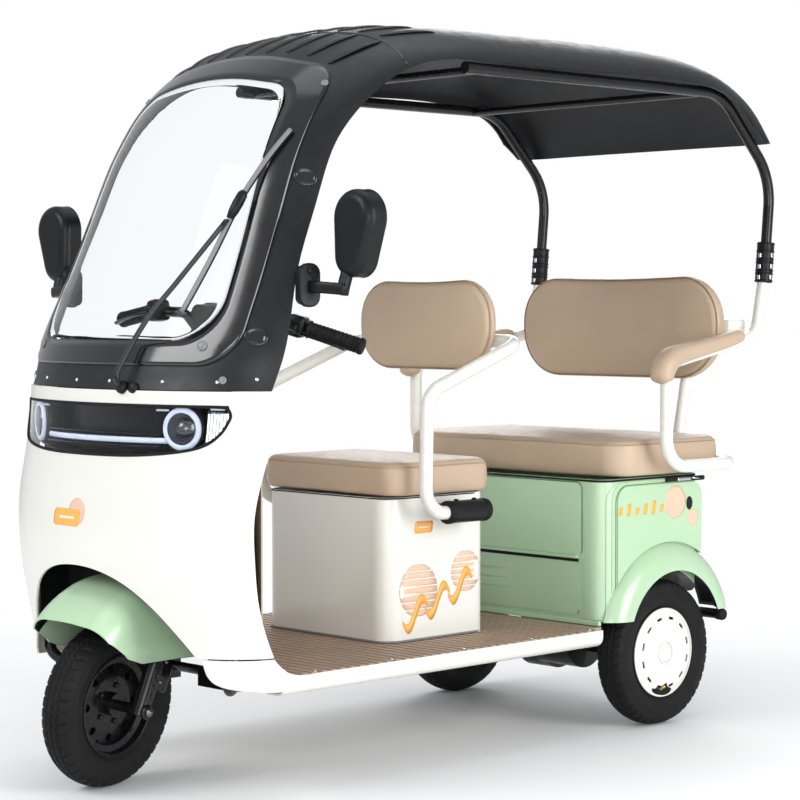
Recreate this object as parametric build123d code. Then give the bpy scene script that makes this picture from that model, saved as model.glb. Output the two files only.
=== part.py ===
from build123d import *

import math
import os

# Electric passenger tricycle with a moulded roof. Millimetres.
# +Z is up, the vehicle drives towards -Y, and its left side is +X.
# The origin is on the ground, under the middle of the vehicle's box.

# ---- driving dimensions ----
FRONT_AXLE_Y = -830
REAR_AXLE_Y = 627
TYRE_R = 185
TYRE_HALF = 40
RIM_R = 112
TRACK_HALF = 351
RAKE = 22
STEER_REST = 13
AXIS_OFFSET = 25
SKIN = 5
FLOOR_TOP = 270
SILL_BOTTOM = 226
SILL_HALF = 404
FLOOR_REAR_Y = 372
FLOOR_TAIL_Y = 409
FLOOR_TAIL_X = 366
TUBE_R = 16
ROOF_TUBE_R = 14

AXLE_Z = TYRE_R
CENTRE_Y = -19


# ---- shared shapes ----
def solid_of(shape):
    """The one solid of a boolean result."""
    return shape.solids()[0] if len(shape.solids()) == 1 else shape


def bow_points(half, depth, power, count=17):
    """Points of half a superellipse, from +half round the crown to -half."""
    points = []
    for i in range(count):
        angle = math.pi * i / (count - 1)
        c = math.cos(angle)
        s = abs(math.sin(angle))
        x = half * math.copysign(abs(c) ** (2 / power), c)
        points.append((x, depth * s ** (2 / power)))
    return points


def bow_rows(stations, out):
    """Grid of points on the skin, one row per station, drawn outwards by out."""
    rows = []
    for (apex_y, apex_z), (mid_y, mid_z), half, power in stations:
        rise = Vector(0, apex_y - mid_y, apex_z - mid_z)
        depth = rise.length
        up = rise.normalized()
        points = bow_points(half + out, depth + out, power)
        rows.append([Vector(x, mid_y, mid_z) + up * v for x, v in points])
    return rows


def halved(stations):
    """The stations with one more between each pair, on a smooth curve."""
    flat = [(*apex, *mid, half, power) for apex, mid, half, power in stations]
    rows = []
    for i in range(len(flat) - 1):
        before = flat[max(i - 1, 0)]
        after = flat[min(i + 2, len(flat) - 1)]
        between = [
            (9 * (q + r) - p - s) / 16 for p, q, r, s in zip(before, flat[i], flat[i + 1], after)
        ]
        rows += [flat[i], between]
    rows.append(flat[-1])
    return [((r[0], r[1]), (r[2], r[3]), r[4], r[5]) for r in rows]


def bow_shell(stations, low, high):
    """Skin through the stations, between two offsets of their bows."""
    rows = bow_rows(halved(stations), high)
    face = Face.make_surface_from_array_of_points(rows, tol=0.5, min_deg=3, max_deg=3)
    return Solid.thicken(face, low - high)


def side_prism(edges, half=700, start=None):
    """Solid across the vehicle from an outline in (Y, Z)."""
    return extrude(Plane.YZ * make_face(edges), amount=half, both=True)


def front_prism(edges, y_from, y_to):
    """Solid along Y from an outline in (X, Z), between two Y values."""
    face = Plane(origin=(0, y_from, 0), x_dir=(1, 0, 0), z_dir=(0, -1, 0)) * make_face(edges)
    return extrude(face, amount=y_from - y_to)


def tube(points, radii, radius, wall=2.0):
    """Round tube along a path of straight runs and arcs."""
    path = FilletPolyline(*points, radius=radii) if len(points) > 2 else Line(*points)
    end = Plane(origin=path @ 0, z_dir=path % 0)
    section = end * (Circle(radius) - Circle(radius - wall))
    return sweep(section, path=path)


def bar(points, radii, radius):
    """Solid round bar along a path of straight runs and arcs."""
    path = FilletPolyline(*points, radius=radii) if len(points) > 2 else Line(*points)
    end = Plane(origin=path @ 0, z_dir=path % 0)
    return sweep(end * Circle(radius), path=path)


def turned(points, y=0, z=0, x=0):
    """Solid of revolution about a line along X, from a closed outline of (x, r)."""
    profile = make_face(Polyline(*points, close=True))
    return Pos(x, y, z) * revolve(profile, axis=Axis.X)


def mirrored(shape):
    return mirror(shape, about=Plane.YZ)


def rod(start, end, radius):
    """Straight solid cylinder between two points."""
    direction = Vector(*end) - Vector(*start)
    plane = Plane(origin=start, z_dir=direction)
    return extrude(plane * Circle(radius), amount=direction.length)


def block(x, y, z):
    """Box between two corners given as (low, high) pairs."""
    size = (x[1] - x[0], y[1] - y[0], z[1] - z[0])
    centre = ((x[0] + x[1]) / 2, (y[0] + y[1]) / 2, (z[0] + z[1]) / 2)
    return Pos(*centre) * Box(*size)


# ---- roof, screen surround and windscreen ----
# Each station is (apex (Y, Z), springing (Y, Z), half width, superellipse power).
CAB = [
    ((-870, 881), (-630, 881), 440, 2.0),
    ((-835, 985), (-620, 985), 430, 2.0),
    ((-790, 1080), (-583, 1080), 420, 2.0),
    ((-744, 1180), (-541, 1180), 410, 2.0),
    ((-698, 1290), (-500, 1288), 399, 2.0),
    ((-658, 1380), (-472, 1360), 394, 2.0),
    ((-610, 1460), (-430, 1415), 394, 2.1),
    ((-545, 1542), (-385, 1465), 397, 2.2),
    ((-462, 1614), (-330, 1502), 403, 2.3),
    ((-358, 1672), (-262, 1535), 411, 2.4),
    ((-220, 1709), (-180, 1565), 420, 2.5),
    ((-60, 1725), (-50, 1580), 428, 2.5),
    ((320, 1733), (320, 1585), 437, 2.5),
    ((700, 1728), (688, 1587), 443, 2.5),
    ((890, 1684), (822, 1562), 445, 2.5),
    ((985, 1598), (912, 1525), 445, 2.6),
    ((1020, 1488), (975, 1482), 445, 2.8),
]


def door_opening():
    """Solid of the open sides: behind the pillars and under the roof's edge."""
    edge = [
        (-706, 880),
        (-658, 1008),
        (-612, 1147),
        (-550, 1288),
        (-500, 1398),
        (-400, 1515),
        (-254, 1600),
        (-80, 1620),
        (300, 1622),
        (700, 1620),
        (850, 1580),
        (935, 1485),
    ]
    low = 600
    return side_prism(
        [
            Spline(*edge),
            Line(edge[-1], (1100, 1485)),
            Line((1100, 1485), (1100, low)),
            Line((1100, low), (-706, low)),
            Line((-706, low), edge[0]),
        ]
    )


def glass_outline(inset):
    """Front view of the windscreen, drawn in from its edge by inset."""
    half_low = 366 - inset
    half_high = 326 - inset
    low = 933 + inset
    corner = 1588 - inset * 0.9
    crown = 1650 - inset
    corner_r = max(80 - inset * 0.4, 30)
    outline = Polyline(
        (-half_high, corner), (-half_low, low), (half_low, low), (half_high, corner)
    ) + ThreePointArc((half_high, corner), (0, crown), (-half_high, corner))
    face = make_face(outline)
    return fillet(face.vertices(), corner_r)


def screen_prism(inset):
    face = Plane(origin=(0, -330, 0), x_dir=(1, 0, 0), z_dir=(0, -1, 0)) * glass_outline(inset)
    return extrude(face, amount=700)


def build_roof():
    skin = bow_shell(CAB, -SKIN, 0)
    skin = skin - door_opening() - screen_prism(48)
    return solid_of(skin)


def build_windscreen():
    return solid_of(bow_shell(CAB, 1.0, 5.0) & screen_prism(0))


# ---- front fairing ----
NOSE = [
    ((-870, 879), (-630, 879), 440, 2.0),
    ((-872, 800), (-640, 800), 430, 2.1),
    ((-888, 720), (-660, 720), 422, 2.1),
    ((-910, 620), (-680, 620), 415, 2.1),
    ((-908, 500), (-680, 500), 410, 2.1),
    ((-880, 400), (-670, 400), 406, 2.2),
    ((-850, 314), (-660, 314), 404, 2.3),
]


def nose_rear():
    """What lies behind the fairing's rear edge, in (Y, Z)."""
    edge = [
        (-706, 882),
        (-712, 757),
        (-745, 612),
        (-742, 520),
        (-736, 463),
        (-714, 370),
        (-690, 311),
    ]
    return side_prism(
        [
            Spline(*edge),
            Line(edge[-1], (-300, 311)),
            Line((-300, 311), (-300, 882)),
            Line((-300, 882), edge[0]),
        ]
    )


def arch_prism():
    """Front view of the wheel opening."""
    top = 497
    edges = [
        Spline((-305, 290), (-250, 372), (-170, 452), (0, top), (170, 452), (250, 372), (305, 290)),
        Line((305, 290), (305, 150)),
        Line((305, 150), (-305, 150)),
        Line((-305, 150), (-305, 290)),
    ]
    return front_prism(edges, -640, -1100)


def lamp_outline(inset):
    """Front view of the wide lamp unit, drawn in from its edge by inset."""
    half = [(0, 736), (150, 738), (262, 748), (321, 763), (351, 791), (366, 825)]
    half = [(x - inset * 0.7 * x / 366, z + inset) for x, z in half]
    tip = (360 - inset, 850 - inset)
    low = [(-x, z) for x, z in half[::-1]] + half[1:]
    return [
        Spline(*low),
        Line(low[-1], tip),
        Line(tip, (-tip[0], tip[1])),
        Line((-tip[0], tip[1]), low[0]),
    ]


def build_fairing():
    skin = bow_shell(NOSE, -SKIN, 0)
    skin = skin - nose_rear() - arch_prism() - front_prism(lamp_outline(0), -700, -1100)
    return solid_of(skin)


def lamp_core(inset):
    """Upright solid behind the lamp's lens, its front drawn in by inset."""
    points = [Vector(x, -650 - v) for x, v in bow_points(416 - inset, 213 - inset, 2.0, 33)]
    return plan_prism([Spline(*points), Line(points[-1], points[0])], 700, 900)


def lamp_lights():
    """Ring of light round each lamp and the bar between them, standing on the tray."""
    level = [Polyline((-216, 766), (216, 766), (216, 778), (-216, 778), close=True)]
    lights = [(lamp_core(28) - lamp_core(47)) & front_prism(level, -722, -1100)]
    turn = math.radians(22)
    for s in (1, -1):
        ahead = Vector(s * math.sin(turn), -math.cos(turn), 0)
        face = Vector(s * 259, -822, 799)
        ring = rod(face - ahead * 120, face, 46) - rod(face - ahead * 130, face + ahead * 10, 33)
        bowl = rod(face - ahead * 120, face - ahead * 24, 34)
        lights.append((ring + bowl) & (lamp_core(8) - lamp_core(47)))
    return lights


def build_lamp_housing():
    """Black tray behind the lens."""
    tray = (lamp_core(0) - lamp_core(48)) & front_prism(lamp_outline(2), -722, -1100)
    pocket = front_prism(lamp_outline(6), -600, -1100) - lamp_core(44)
    return solid_of((tray - pocket).fuse(*lamp_lights()))


def build_lamp_lens():
    return solid_of(bow_shell(NOSE, -4, 0) & front_prism(lamp_outline(0.8), -600, -1100))


# ---- wheels ----
def tyre():
    """Tyre section turned about X: tread, walls and an open bead."""
    tread = TYRE_R
    edges = [
        ThreePointArc((-33, tread - 9), (0, tread), (33, tread - 9)),
        Line((33, tread - 9), (TYRE_HALF, tread - 34)),
        Line((TYRE_HALF, tread - 34), (29, RIM_R + 2)),
        Line((29, RIM_R + 2), (22, RIM_R + 2)),
        Line((22, RIM_R + 2), (32, tread - 34)),
        Line((32, tread - 34), (26, tread - 14)),
        Line((26, tread - 14), (-26, tread - 14)),
        Line((-26, tread - 14), (-32, tread - 34)),
        Line((-32, tread - 34), (-22, RIM_R + 2)),
        Line((-22, RIM_R + 2), (-29, RIM_R + 2)),
        Line((-29, RIM_R + 2), (-TYRE_HALF, tread - 34)),
        Line((-TYRE_HALF, tread - 34), (-33, tread - 9)),
    ]
    return revolve(make_face(edges), axis=Axis.X)


def rim():
    """Well, flanges, dished disc and brake drum of one wheel, its outside towards +X."""
    well = turned(
        [
            (-31, RIM_R + 1),
            (-31, RIM_R - 3),
            (-18, RIM_R - 7),
            (-14, RIM_R - 20),
            (14, RIM_R - 20),
            (18, RIM_R - 7),
            (31, RIM_R - 3),
            (31, RIM_R + 1),
            (27, RIM_R + 1),
            (27, RIM_R - 1),
            (15, RIM_R - 3),
            (11, RIM_R - 16),
            (-11, RIM_R - 16),
            (-15, RIM_R - 3),
            (-27, RIM_R - 1),
            (-27, RIM_R + 1),
        ]
    )
    disc = turned([(-4, RIM_R - 19), (2, 60), (2, 20), (8, 20), (8, 62), (2, RIM_R - 19)])
    drum = turned([(-44, 66), (-44, 58), (-8, 58), (-8, 20), (3, 20), (3, 66)])
    hub = turned([(-40, 26), (-40, 12.1), (26, 12.1), (26, 26)])
    holes = PolarLocations(76, 8)
    cut = [Plane.YZ * loc * Cylinder(9, 60) for loc in holes]
    return solid_of(well + disc + drum + hub - cut)


def hub_cap():
    """Domed cover over the outside of a rear wheel, with a ring of slots."""
    outside = [(31.4, 112), (34.4, 112), (40, 97), (42, 60), (42, 0)]
    inside = [(39, 0), (39, 58), (37, 94), (31.4, 108)]
    dome = turned(outside + inside)
    ring = turned([(41, 31), (45, 30), (45, 26), (41, 25)])
    slots = [
        Plane.YZ * loc * Pos(0, 0, 38) * Box(7, 19, 20)
        for loc in PolarLocations(88, 12, start_angle=15)
    ]
    return solid_of(dome + ring - slots)


def place_wheel(shape, x, y):
    return Pos(x, y, AXLE_Z) * shape


# ---- steering: everything here is made straight ahead and then turned ----
AXIS_BASE = Vector(0, FRONT_AXLE_Y + AXIS_OFFSET / math.cos(math.radians(RAKE)), AXLE_Z)
AXIS_DIR = Vector(0, math.sin(math.radians(RAKE)), math.cos(math.radians(RAKE)))
AXIS_FRONT = Vector(0, -math.cos(math.radians(RAKE)), math.sin(math.radians(RAKE)))
LEG_X = 92
FENDER_Y = -790
FENDER_R = 280
FENDER_HALF = 116


def on_axis(along, x=0.0, ahead=0.0):
    """Point given by its distance up the steering axis, sideways and ahead of it."""
    return AXIS_BASE + AXIS_DIR * along + AXIS_FRONT * ahead + Vector(x, 0, 0)


def steered(shape):
    return shape.rotate(Axis(tuple(AXIS_BASE), tuple(AXIS_DIR)), STEER_REST)


def build_fork():
    """Two legs, their bridge, the stem and the wheel spindle."""
    ahead = AXIS_OFFSET
    whole = rod(on_axis(200), on_axis(852), 12.5)
    for side in (1, -1):
        low = on_axis(-22, side * LEG_X, ahead)
        mid = on_axis(120, side * LEG_X, ahead)
        top = on_axis(222, side * LEG_X, ahead)
        whole = whole + rod(low, mid, 19) + rod(mid, top, 14)
    bridge = Plane(origin=on_axis(212, 0, ahead / 2), x_dir=(1, 0, 0), z_dir=AXIS_DIR)
    whole = whole + bridge * Box(2 * LEG_X + 34, 58, 22)
    spindle = rod((-LEG_X, FRONT_AXLE_Y, AXLE_Z), (LEG_X, FRONT_AXLE_Y, AXLE_Z), 12)
    return whole + spindle


def fender_face(wall):
    """Section of the front fender inside its skin by wall, in (x, radius)."""
    half = FENDER_HALF - wall
    top = FENDER_R - wall
    low = 140 - wall
    edges = [
        Line((half, low), (half, top - 62)),
        ThreePointArc((half, top - 62), (half - 18, top - 20), (half - 62, top - 3)),
        ThreePointArc((half - 62, top - 3), (0, top), (62 - half, top - 3)),
        ThreePointArc((62 - half, top - 3), (18 - half, top - 20), (-half, top - 62)),
        Line((-half, top - 62), (-half, low)),
        Line((-half, low), (half, low)),
    ]
    return make_face(edges)


def build_front_fender():
    """Hooped guard over the front wheel, its skirts cut on a slope."""
    hoop = revolve(fender_face(0) - fender_face(3), axis=Axis.X)
    hoop = Pos(0, FENDER_Y, AXLE_Z) * hoop
    low = Polyline(
        (-1200, 388),
        (-985, 388),
        (-963, 353),
        (-900, 311),
        (-860, 297),
        (-700, 291),
        (-400, 285),
        (-400, -200),
        (-1200, -200),
        close=True,
    )
    hoop = hoop - side_prism([low])
    hoop = hoop - rod(on_axis(240), on_axis(330), 17)
    return solid_of(hoop)


def build_handlebar():
    points = [
        (-346, -444, 1000),
        (-215, -486, 1031),
        (-120, -492, 1034),
        (-60, -484, 975),
        (60, -484, 975),
        (120, -492, 1034),
        (215, -486, 1031),
        (346, -444, 1000),
    ]
    rail = bar(points, [60, 30, 30, 30, 30, 60], 11)
    clamp = Plane(origin=on_axis(852), x_dir=(1, 0, 0), z_dir=AXIS_DIR) * Box(46, 44, 34)
    sleeve = rod(on_axis(700), on_axis(869), 12.5)
    return solid_of(rail + clamp - sleeve)


def build_grips():
    """Both hand grips, each a sleeve round the bar."""
    solids = []
    for s in (1, -1):
        inner = Vector(s * 228, -481.83, 1027.92)
        outer = Vector(s * 352, -442.08, 998.58)
        run = outer - inner
        bore = rod(inner - run, outer - run * 0.02, 11.05)
        solids.append(rod(inner, outer, 17) - bore)
    return Compound(children=solids)


def build_pod():
    """Instrument pod over the middle of the bar."""
    shape = block((-78, 78), (-522, -452), (1006, 1060))
    shape = fillet(shape.edges().filter_by(Axis.Y), 20)
    return shape


# ---- floor, sills and chassis ----
LEG_PLAN = [(393, -712), (345, -684), (262, -610), (150, -525), (0, -498)]


def plan_prism(points, low, high):
    """Solid between two heights from a closed outline of (X, Y) edges."""
    return extrude(Plane(origin=(0, 0, low)) * make_face(points), amount=high - low)


def leg_outline(out):
    """Plan of the leg shield moved back by out, from right to left."""
    half = [(x, y + out) for x, y in LEG_PLAN]
    return [(-x, y) for x, y in half[:-1]] + half[::-1]


def ahead_of_leg(out, low, high):
    """Everything in front of the leg shield's plan."""
    points = leg_outline(out)
    edges = [
        Spline(*points),
        Line(points[-1], (points[-1][0], -1100)),
        Line((points[-1][0], -1100), (points[0][0], -1100)),
        Line((points[0][0], -1100), points[0]),
    ]
    return plan_prism(edges, low, high)


def build_pan():
    """Moulded tray: a thin deck, rounded sills and the cheeks beside the front wheel."""
    half = SILL_HALF
    outer = [
        Line((0, 257.5), (half - 5.5, 257.5)),
        Line((half - 5.5, 257.5), (half - 5.5, 268)),
        Line((half - 5.5, 268), (half, 268)),
        Line((half, 268), (half, 252)),
        ThreePointArc((half, 252), (half - 7, 234), (half - 26, SILL_BOTTOM)),
        Line((half - 26, SILL_BOTTOM), (half - 60, SILL_BOTTOM)),
        Line((half - 60, SILL_BOTTOM), (half - 60, SILL_BOTTOM + 4)),
        Line((half - 60, SILL_BOTTOM + 4), (half - 27, SILL_BOTTOM + 4)),
        ThreePointArc((half - 27, SILL_BOTTOM + 4), (half - 9.6, 236.6), (half - 4, 253.5)),
        Line((half - 4, 253.5), (0, 253.5)),
        Line((0, 253.5), (0, 257.5)),
    ]
    run = front_prism(outer, FLOOR_REAR_Y, -660)
    run = run + mirrored(run)
    run = run + block((-FLOOR_TAIL_X, FLOOR_TAIL_X), (FLOOR_REAR_Y - 1, FLOOR_TAIL_Y), (253.5, 257.5))
    run = run - ahead_of_leg(-8, 253, 258)
    nose = [
        ((-850, 310), (-660, 310), 404, 2.3),
        ((-849, 280), (-660, 280), 404, 2.3),
        ((-845, 255), (-660, 255), 402, 2.3),
        ((-834, 237), (-660, 237), 393, 2.3),
        ((-820, 226), (-660, 226), 380, 2.3),
    ]
    cheeks = bow_shell(nose, -4, 0) - front_prism(arch_foot(), -600, -1100)
    for s in (1, -1):
        flank = block((min(s * 400, s * 404), max(s * 400, s * 404)), (-661, -600), (250, 310))
        run = run + flank
    rim = Spline((-690, 311), (-668, 288), (-625, 270), (-560, 268.2), (-500, 268))
    over = side_prism(
        [rim, Line((-500, 268), (-500, 330)), Line((-500, 330), (-690, 330)), Line((-690, 330), (-690, 311))]
    )
    return solid_of(run + cheeks - over)


def arch_foot():
    """Front view of the wheel opening where it spreads at the foot of the cheeks."""
    right = [(299, 330), (306, 292), (320, 264), (346, 250), (392, 240), (420, 200)]
    left = [(-x, z) for x, z in right[::-1]]
    return [
        Spline(*right),
        Line(right[-1], left[0]),
        Spline(*left),
        Line(left[-1], right[0]),
    ]


def build_floor():
    """Deck board with cross ribs."""
    wide = SILL_HALF - 6
    deck = block((-wide, wide), (-705, FLOOR_REAR_Y), (258, FLOOR_TOP - 2))
    deck = deck + block((-FLOOR_TAIL_X, FLOOR_TAIL_X), (FLOOR_REAR_Y - 1, FLOOR_TAIL_Y), (258, FLOOR_TOP - 2))
    ribs = [block((-wide, wide), (y, y + 14), (FLOOR_TOP - 2.5, FLOOR_TOP)) for y in range(-660, 360, 28)]
    deck = deck + ribs
    deck = deck - ahead_of_leg(1, 250, 300)
    corners = block((-500, 500), (-800, -630), (250, 300)) - block((-388, 388), (-800, -630), (250, 300))
    return solid_of(deck - corners)


def build_leg_shield():
    """Curved tan panel in front of the driver's feet, with a shelf over the column."""
    back = leg_outline(0)
    front = leg_outline(-4)
    rim = [
        Spline(*back),
        Line(back[-1], front[-1]),
        Spline(*front[::-1]),
        Line(front[0], back[0]),
    ]
    wall = plan_prism(rim, FLOOR_TOP + 0.5, 760)
    shelf = plan_prism([Spline(*back), Line(back[-1], back[0])], 756, 760)
    room = rod(on_axis(560), on_axis(700), 19)
    return solid_of(wall + shelf - room)


def build_dash():
    """Black panel that faces the driver, with a raised middle behind the windscreen."""
    left = [(-388, 760.5), (-388, 866), (-262, 880), (-262, 972)]
    right = [(-x, z) for x, z in left[::-1]]
    outline = Polyline(*left, *right, close=True)
    face = make_face(outline)
    panel = extrude(Plane(origin=(0, -716, 0), x_dir=(1, 0, 0), z_dir=(0, -1, 0)) * face, amount=-5)
    hood = block((-262, 262), (-762, -712), (880, 972)) - block((-257, 257), (-780, -716), (870, 967))
    return solid_of(panel + hood)


def build_liner():
    """Black inner guard over the front wheel."""
    shapes = []
    for inner in (0, 3):
        half = [(308 - inner, -712), (246 - inner, -612), (140, -538 - inner), (0, -516 - inner)]
        points = [(-x, y) for x, y in half[:-1]] + half[::-1]
        front = -790 - inner * 10
        edges = [
            Line((points[0][0], front), points[0]),
            Spline(*points),
            Line(points[-1], (points[-1][0], front)),
            Line((points[-1][0], front), (points[0][0], front)),
        ]
        shapes.append(plan_prism(edges, 300 - inner * 5, 503 - inner))
    liner = shapes[0] - shapes[1]
    return solid_of(liner - rod(on_axis(250), on_axis(420), 29))


CROSS_TUBES = [
    (-597, 236, 11),
    (-220, 236, 12),
    (140, 236, 12),
    (340, 236, 12),
    (612, 398, 12),
    (766, 398, 12),
]


def rail_path(s):
    """Points of one chassis rail: along the floor, then up over the rear axle."""
    return [(s * 196, -630, 236), (s * 196, 436, 236), (s * 196, 541, 398), (s * 196, 850, 398)]


def build_frame():
    """Welded chassis: head tube, down tubes, rails kicked up over the rear axle, cross tubes."""
    pieces = [rod(on_axis(330), on_axis(470), 21)]
    pieces.append(rod(on_axis(327), on_axis(341), 26))
    pieces.append(rod(on_axis(459), on_axis(473), 26))
    for s in (1, -1):
        down = [on_axis(412, s * 14), (s * 324, -752, 548), (s * 324, -752, 236), (s * 196, -600, 236)]
        pieces.append(bar(down, [40, 40], 13))
        pieces.append(bar(rail_path(s), [90, 90], 14))
        pieces.append(block((min(s * 62, s * 190), max(s * 62, s * 190)), (-622, -572), (206, 250)))
    for y, z, radius in CROSS_TUBES:
        pieces.append(rod((-196, y, z), (196, y, z), radius))
    whole = pieces[0].fuse(*pieces[1:])
    return solid_of(whole - rod(on_axis(300), on_axis(500), 12.6))


def build_axle():
    """Rear axle tube with its gear case, motor, brake plates and wheel shafts."""
    y, z = REAR_AXLE_Y, AXLE_Z
    pieces = [rod((-296, y, z), (296, y, z), 25)]
    pieces.append(rod((-376, y, z), (376, y, z), 12))
    pieces.append(rod((-55, y, z), (35, y, z), 78))
    pieces.append(rod((20, y - 30, z + 12), (150, y - 30, z + 12), 74))
    for s in (1, -1):
        pieces.append(rod((s * 292, y, z), (s * 301, y, z), 52))
        ends = (min(s * 160, s * 232), max(s * 160, s * 232))
        pieces.append(block(ends, (y - 34, y + 34), (z + 18, z + 30)))
    whole = pieces[0].fuse(*pieces[1:])
    return solid_of(whole)


def build_springs():
    """Shock absorbers between the axle and the rails."""
    solids = []
    for s in (1, -1):
        x, y, low, high = s * 196, REAR_AXLE_Y, AXLE_Z + 30.5, 383
        pieces = [rod((x, y, low), (x, y, low + 14), 27), rod((x, y, high - 14), (x, y, high), 25)]
        pieces.append(rod((x, y, low), (x, y, high), 14))
        pieces += [Pos(x, y, low + 27 + 17 * i) * Torus(20, 5) for i in range(7)]
        pieces += [Pos(x, y, low + 27 + 17 * i) * Cylinder(20, 3) for i in range(7)]
        solids.append(solid_of(pieces[0].fuse(*pieces[1:])))
    return Compound(children=solids)


# ---- driver's seat ----
def rounded(x, y, z, vertical, edge=0.0):
    """Block with rounded upright corners and, if asked, rounded top and bottom edges."""
    shape = fillet(block(x, y, z).edges().filter_by(Axis.Z), vertical)
    if edge:
        shape = fillet(shape.faces().sort_by(Axis.Z)[-1].edges(), edge)
        shape = fillet(shape.faces().sort_by(Axis.Z)[0].edges(), edge)
    return shape


def build_seat_box():
    """Storage box under the driver, open at the top where the cushion closes it."""
    shells = []
    for wall in (0, 4):
        height = (FLOOR_TOP + 0.3 + wall, 612 + wall)
        shape = block((-220 + wall, 220 - wall), (-185 + wall, 150 - wall), height)
        upright = shape.edges().filter_by(Axis.Z).sort_by(Axis.Y)
        shape = fillet(upright[:2], 50 - wall)
        upright = shape.edges().filter_by(Axis.Z).sort_by(Axis.Y)
        shape = fillet(upright[-2:], 34 - wall)
        shells.append(shape)
    return solid_of(shells[0] - shells[1])


def build_battery():
    return block((-195, 195), (-125, 85), (FLOOR_TOP + 5, 446))


def build_driver_cushion():
    return rounded((-240, 240), (-180, 157), (616, 703), 55, 22)


def build_driver_backrest():
    """Upright pad: rounded corners seen from the front."""
    shape = block((-229, 229), (134, 178), (906, 1127))
    shape = fillet(shape.edges().filter_by(Axis.Y), 88)
    return fillet(shape.faces().sort_by(Axis.Y)[0].edges(), 16)


def build_arm_frame():
    """One bent tube: along each armrest, up and round behind the backrest."""
    points = [
        (295, 52, 577),
        (295, -132, 577),
        (295, -126, 858),
        (295, 197, 976),
        (-295, 197, 976),
        (-295, -126, 858),
        (-295, -132, 577),
        (-295, 52, 577),
    ]
    return tube(points, [62, 62, 55, 55, 62, 62], TUBE_R)


def build_arm_sleeves():
    """Black sleeves at the tube's ends, each on a lug from the seat box."""
    solids = []
    for s in (1, -1):
        sleeve = rod((s * 295, -64, 577), (s * 295, 68, 577), 26.5)
        lug = block((min(s * 220.3, s * 290), max(s * 220.3, s * 290)), (-34, 36), (562, 592))
        bore = rod((s * 295, -100, 577), (s * 295, 53, 577), 16.3)
        solids.append(sleeve + lug - bore)
    return Compound(children=solids)


# ---- rear seat and body ----
BODY_Y = (410, 792)
BODY_Z = (279, 632)
FLARE_Y = 653
FLARE_Z = 212


def body_skins():
    """Stepped side panels that wrap round the body's front corners."""
    front, back = BODY_Y
    skin = rounded((-375, 375), (front - 5, back), (284, 625), 44)
    skin = skin - rounded((-369, 369), (front + 1, back - 1), (200, 700), 39)
    skin = skin - block((-314, 314), (300, 900), (200, 700))
    panels = []
    for s in (1, -1):
        x = (min(s * 373, s * 379), max(s * 373, s * 379))
        plate = block(x, (456, 786), (290, 612))
        plate = fillet(plate.edges().filter_by(Axis.X).sort_by(Axis.Z)[-2:], 36)
        panels.append(plate)
    return skin.fuse(*panels)


def front_flap():
    """Hinged flap on the body's front, with a lip along its lower edge."""
    front = BODY_Y[0]
    flap = block((-300, 300), (front - 6, front + 1), (440, 622))
    flap = fillet(flap.edges().filter_by(Axis.Y), 16)
    lip = block((-292, 292), (front - 13, front + 1), (434, 442))
    low = block((-292, 292), (front - 3, front + 1), (292, 424))
    low = fillet(low.edges().filter_by(Axis.Y), 12)
    return flap.fuse(lip, low)


def build_rear_body():
    """Green storage body with wheel wells, hollow under the bench."""
    low, high = BODY_Z
    front, back = BODY_Y
    shell = rounded((-370, 370), BODY_Y, (low, high), 40)
    room = rounded((-364, 364), (front + 6, back - 6), (low + 171, high + 10), 34)
    under = rounded((-264, 264), (front + 6, back - 6), (low - 10, low + 165), 34)
    shell = shell - room - under
    shell = shell + body_skins() + front_flap()
    for s in (1, -1):
        shell = shell - rod((s * 270, REAR_AXLE_Y, AXLE_Z), (s * 400, REAR_AXLE_Y, AXLE_Z), 215)
        shell = shell - rod((s * 370.2, FLARE_Y, FLARE_Z), (s * 400, FLARE_Y, FLARE_Z), 252)
        shell = shell - bar(rail_path(s), [90, 90], 15.5)
    return solid_of(shell)


def build_rear_fenders():
    """Bulging arches standing out from the body round the rear wheels."""
    outline = [
        Line((370.5, 210), (370.5, 250)),
        ThreePointArc((370.5, 250), (395, 228), (407, 180)),
        Line((407, 180), (403, 180)),
        ThreePointArc((403, 180), (393, 216), (381, 232)),
        Line((381, 232), (376, 210)),
        Line((376, 210), (370.5, 210)),
    ]
    ring = revolve(make_face(outline), axis=Axis.X)
    ring = Pos(0, FLARE_Y, FLARE_Z) * ring
    ring = ring - block((300, 500), (0, 1200), (-100, BODY_Z[0]))
    ring = ring - rod((300, REAR_AXLE_Y, AXLE_Z), (397, REAR_AXLE_Y, AXLE_Z), 200)
    return Compound(children=[solid_of(ring), solid_of(mirrored(ring))])


def build_bench():
    return rounded((-384, 384), (456, 877), (636, 737), 66, 24)


def build_rear_backrest():
    shape = block((-344, 344), (872, 926), (872, 1142))
    shape = fillet(shape.edges().filter_by(Axis.Y), 100)
    return fillet(shape.faces().sort_by(Axis.Y)[0].edges(), 18)


SEAT_TUBE = [
    (400, 1014, 1122),
    (400, 984, 985),
    (445, 562, 918),
    (445, 562, 660),
    (445, 898, 660),
]
SEAT_BENDS = [62, 60, 75, 138]


def seat_path():
    """Points and bend radii of the rear seat frame's tube, from left to right."""
    points = SEAT_TUBE + [(-x, y, z) for x, y, z in SEAT_TUBE[::-1]]
    return points, SEAT_BENDS + SEAT_BENDS[::-1]


def build_seat_frame():
    """Cream tube: from the roof post down over the arm, along the bench and across behind it."""
    points, bends = seat_path()
    rail = tube(points, bends, TUBE_R)
    post = rod((200, 898, 660), (200, 966, 985), 14)
    post = post - rod((-300, 898, 660), (300, 898, 660), 15)
    post = post - block((100, 300), (800, 960), (500, 660))
    return solid_of(rail + post)


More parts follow.
